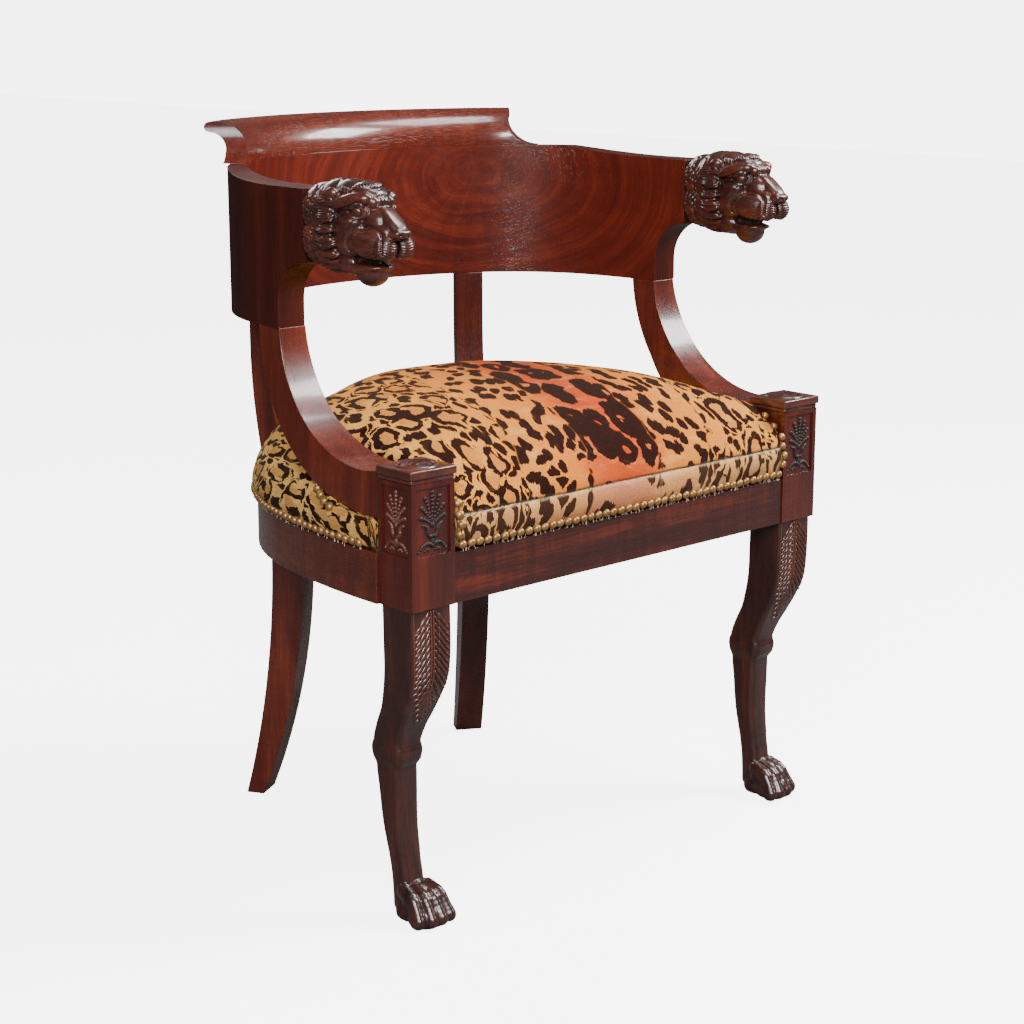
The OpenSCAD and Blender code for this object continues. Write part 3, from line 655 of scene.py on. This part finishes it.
    # Groove between the pads, nostrils, flat sides of the nose, frown
    move -= 3.4 * hill(w, 0, 1.2) * step(u, 117, 122) * step(h, -29, -26) * (1 - step(h, -6, -4))
    move -= 2.8 * hill(aw, 5.0, 1.7) * hill(h, -2.8, 1.8) * step(u, 130, 133)
    move -= 1.2 * hill(h, 24.5 + 0.15 * aw, 1.2) * step(u, 104, 108) * (1 - step(aw, 8, 11))
    move -= 0.8 * hill(w, 0, 1.3) * step(u, 98, 102) * step(h, 25, 28) * (1 - step(h, 36, 40))
    # Dark parting of the lips, deepest at the corners
    slit = hill(h, -28.4 - 0.06 * (u - 84), 2.3) * step(u, 79, 84) * (1 - step(u, 122, 125))
    move -= 5.0 * slit * step(aw, 3, 7)
    # Eye: ball, pupil, lids and corners
    e = (u - 91) * 0.82 - (aw - 20) * 0.5 + (h - 19.2) * 0.2
    g = h - 19.2 - 0.12 * (u - 91)
    eye = np.hypot(e / 1.15, g)
    near = (aw > 11) * (np.abs(g) < 13) * (np.abs(e) < 14)
    lids = np.hypot(e / 1.4, g)
    move += near * (0.6 * (1 - step(eye, 3.0, 5.0)) - 1.3 * hill(eye, 5.2, 0.6) + 0.9 * hill(lids, 6.7, 0.7)
                    - 0.9 * hill(lids, 8.2, 0.8))
    move -= near * 0.5 * hill(np.hypot(e - 0.5, g), 0, 1.0)
    # The brow overhangs the eye
    under = h - (15.5 + 0.36 * (u - 62))
    move -= 1.8 * hill(under, 0.0, 1.6) * step(u, 60, 64) * (1 - step(u, 97, 100)) * step(aw, 14, 18)
    co = co + n * move[:, None]
    co[:, 1] = np.minimum(co[:, 1], -0.05)
    write(mesh, co * MM)
    return mesh


def lion_heads(finish):
    skin = head_shape()
    for side, name in ((-1, "left"), (1, "right")):
        mesh = skin.copy()
        mesh.transform(Matrix.Translation(at(side * ARM_X, HEAD_Y, HEAD_Z)))
        piece(f"lion_head_carving_{name}", mesh, finish, "carved_mahogany", f"lion_head_{name}")


# Front legs

# Heights on the leg, with how far its back and its face lie behind the block's front, and its half width
LEG_BACK = [(343, 51), (300, 51), (270, 53), (232, 64), (205, 79), (182, 86.5), (165, 84), (140, 80.5),
            (100, 75.5), (60, 67), (30, 63), (12, 61.5)]
LEG_FRONT = [(343, 4), (300, 4), (272, 6), (250, 13), (230, 23), (205, 36), (190, 41), (178, 41.5),
             (162, 45.5), (140, 46), (100, 46), (60, 41), (45, 38), (12, 36)]
LEG_HALF = [(343, 26), (300, 26), (270, 25), (232, 21.5), (205, 18.5), (182, 17.5), (160, 15.5), (100, 15),
            (45, 14), (12, 15)]
# Lobes in a row of the leaf: reach over the half width, drop, length, thickness, and lean in degrees
LEAF_LOBES = [(0.30, 4, 7.5, 1.9, 28), (0.52, 9, 8, 2.2, 36), (0.72, 14.5, 7, 2.1, 44),
              (0.88, 19.5, 4.5, 1.6, 50)]
# Along a toe, from its root over the knuckle to the floor: forward place, height, and the three radii
TOE = [(-4, 10, 18, 22), (32, 27.5, 17, 8.5), (10, 9.5, 8.5, 10.5), (6.0, 7.2, 6.2, 7.3), (9, 9.5, 8.5, 9)]


def along(table, z):
    """A smooth value at a height from a short table of heights and values."""
    rows = sorted(table)
    xs, ys = [r[0] for r in rows], [r[1] for r in rows]
    i = min(max(np.searchsorted(xs, z) - 1, 0), len(xs) - 2)
    p = [ys[max(i - 1, 0)], ys[i], ys[i + 1], ys[min(i + 2, len(ys) - 1)]]
    t = min(max((z - xs[i]) / (xs[i + 1] - xs[i]), 0), 1)
    return 0.5 * (2 * p[1] + (p[2] - p[0]) * t + (2 * p[0] - 5 * p[1] + 4 * p[2] - p[3]) * t * t
                  + (3 * p[1] - p[0] - 3 * p[2] + p[3]) * t ** 3)


def leg_middle(z):
    """The leg's distance from the chair's middle, which shrinks towards the paw."""
    return PAW_X + (LEG_X - PAW_X) * z / RAIL_Z


def leg_loft(bm, low, high, side, tuck, steps=76):
    """The squared, curved leg in rings of a rounded square, drawn in where another skin takes over."""
    last = None
    for z in np.linspace(high, low, steps):
        front, back, half = along(LEG_FRONT, z), along(LEG_BACK, z), along(LEG_HALF, z)
        band = 2.4 * (step(z, 166, 171) - step(z, 184, 189)) - 1.2 * hill(z, 192, 3) - 1.4 * hill(z, 163, 3)
        arris = 3.0 + 4.5 * step(300 - z, 0, 130)
        half, front, back = half - tuck(z), front + tuck(z), back - tuck(z)
        mid, deep = (front + back) / 2, (back - front) / 2
        ring = bmesh.ops.create_circle(bm, segments=48, radius=1.0)["verts"]
        for k, vert in enumerate(ring):
            a = 2 * math.pi * (k + 0.5) / 48
            c, t = math.cos(a), math.sin(a)
            grow = band * (1 if t < 0 else 0.3)
            vert.co = at(side * (leg_middle(z) + math.copysign(half - arris, c) + c * (arris + band * 0.5)),
                         BLOCK_Y + mid + math.copysign(deep - arris, t) + t * (arris + grow), z)
        edges = list({e for v in ring for e in v.link_edges})
        if last:
            bmesh.ops.bridge_loops(bm, edges=last + edges)
        else:
            bmesh.ops.contextual_create(bm, geom=edges)
        last = edges
    bmesh.ops.contextual_create(bm, geom=last)


def paw_shape(bm, side):
    """The paw: foot of the leg, and four thick toes that rise to a knuckle and bend to the floor."""
    def egg(f, w, h, rf, rw, rh, square=2.0):
        blob(bm, (side * (PAW_X + w), PAW_Y - f, h), (rw, rf, rh), (0, 0, 0), 24, 16, square)

    leg_loft(bm, 10, 75, side, lambda z: 1.2 * step(z, 68, 75), 30)
    egg(-10, 0, 9, 16, 19, 12, 2.8)
    egg(-3, 0, 20, 18, 17.5, 22)
    egg(11, 0.5, 8, 18, 20, 14, 2.6)
    for w, ahead in ((18, -4), (6.2, 1.5), (-6, 2), (-17.5, 0)):
        for t in np.linspace(0, 1, 8):
            f, h, rf, rw, rh = (np.interp(t, (0, 0.35, 0.7, 1), row) for row in TOE)
            egg(f + ahead, w * (0.84 + 0.24 * t), h, rf, rw, rh)


def leg_leaf(bm, side):
    """The leaf down the face of the leg: a double rib, and lobes that hang outwards and down from it."""
    def face(z):
        return BLOCK_Y + along(LEG_FRONT, z)

    def slope(z):
        return math.degrees(math.atan2(face(z - 2) - face(z + 2), 4))

    for k in range(24):
        z = 338 - k * 4.4
        for s in (-1, 1):
            place = (side * leg_middle(z) + s * 1.7, face(z) - 0.4, z)
            blob(bm, place, (1.2, 1.6, 4), (slope(z), 0, 0), 8, 6)
    for k in range(15):
        z = 340 - k * 7.2
        wide = (along(LEG_HALF, z - 12) - 3.5) * (1.0 if k < 10 else 1.0 - 0.17 * (k - 9))
        for s in (-1, 1):
            for reach, drop, long, fat, lean in LEAF_LOBES:
                blob(bm, (side * leg_middle(z) + s * wide * reach, face(z - drop) + 0.1, z - drop),
                     (fat, 2.3, long), (slope(z - drop), -s * lean, 0), 12, 8)
    # Fine border beside the arrises
    for s in (-1, 1):
        for k in range(18):
            z = 338 - k * 4.6
            edge = s * (along(LEG_HALF, z) - 2.6)
            blob(bm, (side * leg_middle(z) + edge, face(z) + 0.5, z), (0.9, 1.2, 4), (slope(z), 0, 0), 8, 6)


def palmette(bm, place, across, out, half, low, high):
    """Seven lobes that curl out of an open calyx, over a bud and two hanging leaves, in low relief."""
    tall = high - low
    across, out = Vector(across), Vector(out)
    basis = Matrix((across, out, Vector((0, 0, 1)))).transposed().to_4x4()

    def stroke(start, bend, end, thin, thick, count=8):
        """A swelling rib along a bent line, given in shares of the half width and the height."""
        for k in range(count):
            t = k / (count - 1)
            x, z = ((1 - t) ** 2 * p + 2 * t * (1 - t) * q + t * t * r for p, q, r in zip(start, bend, end))
            size = (thin + (thick - thin) * t) * MM
            middle = (Vector(place) + across * x * half + Vector((0, 0, low + tall * z))) * MM
            flat = Matrix.Diagonal((size, min(size, 2.2 * MM), size, 1))
            matrix = Matrix.Translation(middle) @ basis @ flat
            bmesh.ops.create_uvsphere(bm, u_segments=12, v_segments=8, radius=1.0, matrix=matrix)

    stroke((0, 0.40), (0, 0.66), (0, 0.95), 1.0, 2.6, 10)
    for s in (-1, 1):
        for x, z in ((0.48, 0.87), (0.72, 0.72), (0.76, 0.56)):
            stroke((0.05 * s, 0.42), (0.16 * s, 0.42 + (z - 0.42) * 0.55), (x * s, z), 0.8, 2.5)
        stroke((0, 0.25), (0.34 * s, 0.22), (0.34 * s, 0.36), 2.4, 2.4, 7)
        stroke((0.34 * s, 0.36), (0.38 * s, 0.43), (0.64 * s, 0.44), 2.3, 1.5, 6)
        stroke((0.04 * s, 0.10), (0.42 * s, 0.21), (0.92 * s, 0.02), 2.4, 1.7, 10)
        stroke((0.22 * s, 0.03), (0.36 * s, 0.07), (0.50 * s, 0.02), 1.2, 1.5, 4)
    stroke((0, 0.42), (0, 0.43), (0, 0.44), 2.4, 2.4, 2)
    stroke((0, 0.15), (0, 0.17), (0, 0.19), 2.5, 2.0, 3)


def front_legs(plain, carved):
    for side, name in ((-1, "left"), (1, "right")):
        # The block with its mortises is the CAD leg's, cut off where the carved leg begins
        bm = merged(f"front_leg_{name}")
        under = (0, 0, (RAIL_Z + 0.5) * MM)
        cut = bmesh.ops.bisect_plane(bm, geom=bm.verts[:] + bm.edges[:] + bm.faces[:], plane_co=under,
                                     plane_no=(0, 0, -1), clear_outer=True)
        rim = [e for e in cut["geom_cut"] if isinstance(e, bmesh.types.BMEdge)]
        bmesh.ops.contextual_create(bm, geom=rim)
        join_flats(bm)
        ease(bm, 0.8)
        soften(bm, 50)
        block = piece(f"leg_block_{name}", bm, plain, "carved_mahogany", f"front_leg_{name}")
        block.modifiers.new("even", "WEIGHTED_NORMAL").keep_sharp = True
        bm = bmesh.new()
        leg_loft(bm, 63, RAIL_Z + 1, side, lambda z: 1.2 * step(-z, -70, -63))
        bmesh.ops.recalc_face_normals(bm, faces=bm.faces)
        soften(bm, 60)
        piece(f"leg_shaft_{name}", bm, carved, "carved_mahogany")
        bm = bmesh.new()
        paw_shape(bm, side)
        skin = remeshed("paw_skin", bm, 0.9)
        relax(skin, 10)
        co = read(skin)
        co[:, 2] = np.maximum(co[:, 2], 0.0)
        write(skin, co)
        piece(f"paw_{name}", skin, carved, "carved_mahogany")
        bm = bmesh.new()
        leg_leaf(bm, side)
        soften(bm, 180)
        piece(f"leg_leaf_{name}", bm, carved, "carved_mahogany")
        bm = bmesh.new()
        low, high = RAIL_TOP + 6, CAP_Z - 7
        palmette(bm, (side * LEG_X, BLOCK_Y + 2.0, 0), (1, 0, 0), (0, -1, 0), 19.5, low, high)
        palmette(bm, (side * (HALF_SPAN - 2.0), BLOCK_Y + 26, 0), (0, 1, 0), (side, 0, 0), 18, low, high)
        soften(bm, 180)
        piece(f"block_palmette_{name}", bm, carved, "carved_mahogany")


def block_caps(carved):
    """The moulded cap, with a turned roundel let into its top."""
    profile = [(0, 2.2), (3, 2.6), (5, 1.9), (6.2, 0.7), (8, 0.6), (9.5, 1.7), (12, 2.2), (14.5, 1.6),
               (15.8, 0.4), (17.2, 0.4), (18.6, 1.8), (20.6, 2.1), (22.2, 1.3), (23, -0.5)]
    for side, name in ((-1, "left"), (1, "right")):
        bm = bmesh.new()
        mid = Vector((side * LEG_X, BLOCK_Y + 26, 0))
        for wide, deep, low, high, back in ((56, 52, CAP_Z, CAP_Z + 5, 0),
                                            (60, 54, CAP_Z + 5, CAP_Z + 14, -1)):
            slab = Matrix.Translation((mid + Vector((0, back, (low + high) / 2))) * MM) \
                @ Matrix.Diagonal((wide * MM, deep * MM, (high - low) * MM, 1))
            bmesh.ops.create_cube(bm, size=1.0, matrix=slab)
        ease(bm, 1.7)
        line = [bm.verts.new(Vector((r, 0, h)) * MM) for r, h in profile]
        edges = [bm.edges.new(pair) for pair in zip(line, line[1:])]
        known = set(bm.verts) - set(line)
        bmesh.ops.spin(bm, geom=line + edges, cent=(0, 0, 0), axis=(0, 0, 1), angle=2 * math.pi,
                       steps=48, use_merge=True)
        disc = [v for v in bm.verts if v not in known]
        bmesh.ops.remove_doubles(bm, verts=disc, dist=1e-6)
        disc = [v for v in bm.verts if v not in known]
        bmesh.ops.translate(bm, verts=disc, vec=(mid + Vector((0, 0, CAP_Z + 13.6))) * MM)
        bmesh.ops.recalc_face_normals(bm, faces=bm.faces)
        soften(bm, 55)
        piece(f"block_cap_moulding_{name}", bm, carved, "carved_mahogany", f"block_cap_{name}")


# Seat


def arc(cx, cy, r, turns):
    """Points round a centre at the angles given in degrees."""
    return [(cx + r * math.cos(math.radians(a)), cy + r * math.sin(math.radians(a))) for a in turns]


def seat_edge():
    """The seat frame's outer line as points, from the right block round the back to the left block."""
    cx, cy = SIDE_X - SIDE_R, BLOCK_BACK
    turn = math.degrees(math.atan2(BOW_Y - cy, -cx))
    back = SIDE_R - math.hypot(cx, BOW_Y - cy)
    right = arc(cx, cy, SIDE_R, np.linspace(0, turn, 20)) + arc(0, BOW_Y, back, np.linspace(turn, 90, 60)[1:])
    return right + [(-x, y) for x, y in right[::-1][1:]]


def spaced(points, pitch=NAIL_PITCH):
    """Places along a line, a nail's pitch apart."""
    pts = np.array(points, float)
    run = np.concatenate([[0], np.cumsum(np.hypot(*np.diff(pts, axis=0).T))])
    count = max(2, int(round(run[-1] / pitch)))
    return [(np.interp(s, run, pts[:, 0]), np.interp(s, run, pts[:, 1]))
            for s in (np.arange(count) + 0.5) * run[-1] / count]


def loose_at(x, y, z):
    """Where the cover is free to move: away from the rail and from the blocks and supports."""
    free = step(z, RAIL_TOP + 8, RAIL_TOP + 26)
    return free * np.where(np.abs(x) > BLOCK_X - 6, step(y, BLOCK_BACK + 30, BLOCK_BACK + 70), 1.0)


def seat_cover(finish):
    """The stuffed seat: a crowned, closed form pressed between the blocks, the supports and the stiles."""
    bm = merged("seat_cushion")
    mesh = remeshed("cover_skin", bm, 5.0)
    relax(mesh, 2)
    obj = linked("seat_cover", mesh)
    start = read(mesh)
    loose = loose_at(*(start / MM).T)
    pins = obj.vertex_groups.new(name="pins")
    for i, value in enumerate(1 - loose):
        if value > 0:
            pins.add([i], float(value), "REPLACE")
    cloth = obj.modifiers.new("stuffing", "CLOTH")
    cloth.settings.use_pressure = True
    cloth.settings.uniform_pressure_force = 4.0
    cloth.settings.vertex_group_mass = "pins"
    cloth.settings.effector_weights.gravity = 0.0
    cloth.settings.quality = 5
    cloth.point_cache.frame_start, cloth.point_cache.frame_end = 1, 20
    scene = bpy.context.scene
    for f in range(1, 21):
        scene.frame_set(f)
    puffed = read(applied(obj))
    scene.frame_set(1)
    obj.modifiers.clear()
    shift = puffed - start
    far = np.linalg.norm(shift, axis=1)
    cap = 7.0 * MM * loose
    shift *= (np.minimum(far, cap) / np.maximum(far, 1e-9))[:, None]
    write(mesh, start + shift)
    bpy.data.objects.remove(obj)
    bm = bmesh.new()
    bm.from_mesh(mesh)
    even_out(bm)
    bmesh.ops.subdivide_edges(bm, edges=bm.edges, cuts=1, use_grid_fill=True, smooth=0.0)
    for face in bm.faces:
        face.smooth = True
    bm.to_mesh(mesh)
    bm.free()
    relax(mesh, 2)
    co = read(mesh)
    x, y, z = (co / MM).T
    # Drawn in along the rail under the nails, and along the seam of the front border
    n = read(mesh, "normal")
    pull = 1.2 * hill(z, RAIL_TOP + 8, 6) * (1 - np.abs(n[:, 2]))
    pull += 1.3 * hill(z, SEAM_Z, 4.5) * (y < BORDER_Y) * (1 - np.abs(n[:, 2]))
    wave = sum(np.sin(x * a + y * b + c) for a, b, c in
               [(0.021, 0.013, 1.0), (-0.017, 0.031, 2.0), (0.043, -0.022, 0.3)]) * 0.5
    move = wave * loose_at(x, y, z) - pull
    write(mesh, co + n * (move * MM)[:, None])
    # How the cloth lies: flat over the top and on down the sides, with the print turned by 13 degrees.
    # The front border is cut from further on in the print
    nx, ny = n[:, 0], n[:, 1]
    flat = np.maximum(np.hypot(nx, ny), 1e-6)
    drop = np.maximum(0, 468 - z)
    lay = np.zeros((len(co), 3))
    out_x, out_y = x + nx / flat * drop, y + ny / flat * drop + 250
    lay[:, 0] = 0.974 * out_x - 0.225 * out_y + 2
    lay[:, 1] = 0.225 * out_x + 0.974 * out_y
    border = (z < SEAM_Z) & (y < BORDER_Y)
    lay[border, 1] += 23
    attribute = mesh.attributes.new("lay", "FLOAT_VECTOR", "POINT")
    attribute.data.foreach_set("vector", (lay * MM).astype(np.float32).ravel())
    obj = piece("seat_cover", mesh, finish, "velvet", "seat_cushion")
    return obj


def nail_rows(cover, brass, thread):
    """Close rows of domed nails along the rails, beside the blocks and under the arm supports."""
    mesh = cover.data
    tree = BVHTree.FromPolygons([v.co for v in mesh.vertices], [p.vertices for p in mesh.polygons])
    spots = []

    def drive(start, towards):
        hit, normal, _, _ = tree.ray_cast(Vector(start) * MM, Vector(towards).normalized())
        if hit is not None:
            spots.append((hit, normal))

    for x, _ in spaced([(-BLOCK_X + 4, 0), (BLOCK_X - 4, 0)], 11.3):
        drive((x, -400, NAIL_Z), (0, 1, 0))
    for side in (-1, 1):
        for z, _ in spaced([(NAIL_Z + 6, 0), (CAP_Z - 2, 0)]):
            drive((side * (BLOCK_X - 5.5), -400, z), (0, 1, 0))
    for x, y in spaced(seat_edge()[2:-2]):
        out = Vector((x, y - BOW_Y * 0.6, 0)).normalized()
        drive((x + out.x * 60, y + out.y * 60, NAIL_Z), (-out.x, -out.y, 0))
    for side in (-1, 1):
        for y, z in spaced(arc(SUPPORT_Y, SUPPORT_Z, SUPPORT_R + 5.5, np.linspace(-76, -46, 40))):
            if y > BLOCK_BACK + 5:
                drive((side * 400, y, z), (-side, 0, 0))
    bm = bmesh.new()
    rng = random.Random(5)
    for hit, normal in spots:
        spin = normal.to_track_quat("Z", "Y").to_matrix().to_4x4()
        wobble = Vector([rng.uniform(-0.4, 0.4) for _ in range(3)]) * MM
        place = Matrix.Translation(hit + wobble + normal * 1.8 * MM)
        matrix = place @ spin @ Matrix.Diagonal((1, 1, 0.78, 1))
        bmesh.ops.create_uvsphere(bm, u_segments=14, v_segments=8, radius=NAIL_RADIUS * MM, matrix=matrix)
    soften(bm, 180)
    piece("upholstery_nails", bm, brass, "velvet")
    # Frayed ends of thread under the nails
    bm = bmesh.new()
    for hit, normal in spots:
        if hit.z > (NAIL_Z + 3) * MM:
            continue
        for _ in range(rng.choice((1, 2, 2, 3))):
            across = Vector((0, 0, 1)).cross(normal).normalized()
            point = hit + across * rng.uniform(-6, 6) * MM - Vector((0, 0, 4)) * MM + normal * 0.8 * MM
            size = rng.uniform(0.2, 0.45) * MM
            place = Matrix.Translation(point)
            ring = bmesh.ops.create_circle(bm, segments=4, radius=size, matrix=place)["verts"]
            edges = list({e for v in ring for e in v.link_edges})
            for _ in range(3):
                made = bmesh.ops.extrude_edge_only(bm, edges=edges)["geom"]
                ring = [g for g in made if isinstance(g, bmesh.types.BMVert)]
                edges = [g for g in made if isinstance(g, bmesh.types.BMEdge)
                         and all(v in ring for v in g.verts)]
                lean = across * rng.uniform(-1.3, 1.3) + normal * rng.uniform(-0.1, 0.5)
                lean += Vector((0, 0, -rng.uniform(0.4, 1.6)))
                bmesh.ops.translate(bm, verts=ring, vec=lean * MM)
    piece("frayed_threads", bm, thread, "webbing")


# Under the seat


def under_seat(strap, cloth):
    for name, node in (("webbing_straps_long", "webbing_long"), ("webbing_straps_cross", "webbing_cross")):
        bm = merged(node)
        join_flats(bm)
        ease(bm, 0.35, segments=2)
        soften(bm, 50)
        piece(name, bm, strap, "webbing", node)
    bm = merged("base_cloth")
    join_flats(bm)
    area = sum(f.calc_area() for f in bm.faces if f.normal.z > 0.9)
    soften(bm, 50)
    obj = piece("base_cloth_sheet", bm, cloth, "webbing", "base_cloth")


# The wooden frame


def panel_joint(edge):
    """The arrises where the arms butt against the back panel, which stay tight."""
    turns = (math.degrees(math.atan2(v.co.y - BOW_Y * MM, abs(v.co.x))) for v in edge.verts)
    return all(abs(turn - JOINT_TURN) < 0.15 for turn in turns)


def inner_face(face):
    """1 for a face on the hollow side of the back, whose veneer has the oval figure, and 0 elsewhere."""
    c = face.calc_center_median()
    towards = Vector((c.x, c.y - BOW_Y * MM, 0)).normalized()
    return 1 if face.normal.dot(towards) < -0.5 and abs(face.normal.z) < 0.3 else 0


def wooden_frame():
    outer = mahogany("mahogany_outside_of_back", "z", 0.12, (34, 12, 9), (64, 24, 17), (94, 38, 26),
                     0.32, 0.1)
    inner = oval_figure("mahogany_oval_veneer")
    bow = mahogany("mahogany_round_the_bow", "bow", 0.3, (44, 14, 10), (90, 32, 20), (134, 56, 34), 0.16)
    upright = mahogany("mahogany_upright", "z", 0.15, (44, 15, 11), (88, 33, 22), (128, 54, 34))
    front = mahogany("mahogany_flame_front", "x", 0.3, (26, 9, 7), (62, 21, 14), (122, 46, 27))
    side = mahogany("mahogany_flame_side", "bow", 0.5, (46, 17, 11), (84, 34, 22), (124, 56, 34))
    block = mahogany("mahogany_block", "z", 0.15, (38, 12, 9), (78, 26, 17), (112, 41, 25))
    leg = carved_mahogany("mahogany_leg_carved", True, (25, 10, 8), (52, 22, 16), (84, 38, 27))
    carved = carved_mahogany("mahogany_carved", False, (28, 11, 9), (64, 26, 18), (106, 48, 34))
    secondary = bare_wood("beech_secondary")
    dress("back_panel_veneered", "back_panel", [outer, inner], "mahogany", 0.7, panel_joint, inner_face)
    dress("crest_rail_polished", "crest_rail", bow, "mahogany", 0.7)
    for name in ("left", "right"):
        dress(f"arm_polished_{name}", f"arm_{name}", [outer, inner], "mahogany", 1.2, panel_joint, inner_face)
        dress(f"arm_support_polished_{name}", f"arm_support_{name}", upright, "mahogany", 1.6)
        dress(f"rear_leg_polished_{name}", f"rear_leg_{name}", upright, "mahogany", 1.0)
        dress(f"side_rail_veneered_{name}", f"side_rail_{name}", side, "mahogany", 0.8)
        dress(f"corner_block_planed_{name}", f"corner_block_{name}", secondary, "beech", 0.8)
    dress("front_rail_veneered", "front_rail", front, "mahogany", 0.8)
    dress("back_rail_planed", "back_rail", side, "mahogany", 0.8)
    for node in ("panel_dowels", "crest_dowels", "head_dowels", "support_dowels"):
        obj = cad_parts[node]
        obj.data.materials.clear()
        obj.data.materials.append(secondary)
    front_legs(block, leg)
    block_caps(carved)
    lion_heads(carved)


# Studio


def lamp(name, place, target, size, power):
    light = bpy.data.lights.new(name, "AREA")
    light.shape, light.size, light.size_y, light.energy = "RECTANGLE", *size, power
    obj = linked(name, light)
    obj.location = place
    obj.rotation_euler = (Vector(target) - Vector(place)).to_track_quat("-Z", "Y").to_euler()


def camera_ray(tree):
    """1 where the camera looks straight at something, and 0 in reflections and for its light."""
    return Wire(tree, tree.nodes.new("ShaderNodeLightPath").outputs["Is Camera Ray"])


def studio():
    """A plain floor, soft lights and the photograph's camera.

    Floor and air are pale to the eye but dark to the polish, which a white room would make look hazy.
    """
    f = Finish("studio_floor", Roughness=0.8, Emission_Strength=5.0)
    sight = camera_ray(f.material.node_tree)
    f.feed("Base Color", sight.pick((0.12, 0.11, 0.11, 1), (0.85, 0.85, 0.85, 1)))
    f.feed("Emission Color", sight.pick((0, 0, 0, 1), (1, 1, 1, 1)))
    bm = bmesh.new()
    edge = [bm.verts.new(p) for p in ((-9, -9, -0.0005), (9, -9, -0.0005))]
    line = bm.edges.new(edge)
    made = bmesh.ops.extrude_edge_only(bm, edges=[line])["geom"]
    far = [g for g in made if isinstance(g, bmesh.types.BMVert)]
    bmesh.ops.translate(bm, verts=far, vec=(0, 34, 0))
    bmesh.ops.recalc_face_normals(bm, faces=bm.faces)
    floor = linked("studio_floor", meshed("studio_floor", bm))
    floor.data.materials.append(f.material)
    world = bpy.data.worlds.new("studio_air")
    world.use_nodes = True
    tree = world.node_tree
    air = camera_ray(tree).pick((0.10, 0.10, 0.105, 1), (5.9, 5.9, 5.9, 1))
    tree.links.new(air.out, tree.nodes["Background"].inputs["Color"])
    bpy.context.scene.world = world
    lamp("softbox_right", (2.3, -1.5, 2.5), (0, 0, 0.4), (1.3, 1.3), 170)
    lamp("softbox_left", (-2.4, -1.7, 1.9), (0, 0, 0.5), (1.2, 1.6), 60)
    lamp("softbox_front", (-1.6, -2.1, 1.75), (0, 0, 0.6), (0.6, 0.6), 52)
    lamp("softbox_top", (0.7, -0.5, 2.8), (0, 0, 0.5), (1.0, 1.0), 45)
    lamp("softbox_back", (0.6, 2.6, 1.9), (0, 0, 0.5), (1.4, 0.8), 22)
    eye = bpy.data.cameras.new("camera")
    eye.sensor_width, eye.lens = 36.0, FOCAL_PIXELS * 36 / IMAGE_PIXELS
    eye.clip_start, eye.clip_end = 0.1, 100
    camera = linked("camera", eye)
    camera.location = at(-1627.8, -1827.7, 938.5)
    camera.rotation_euler = (math.radians(90 - 13.455), 0, math.radians(-42.70))
    bpy.context.scene.camera = camera


studio()
wooden_frame()
cover = seat_cover(leopard_velvet("velvet_leopard"))
nail_rows(cover, old_brass("brass_old"), frayed_thread("thread_frayed"))
under_seat(flax("flax_webbing", True), flax("flax_cloth", False, (140, 120, 84), (188, 170, 132)))
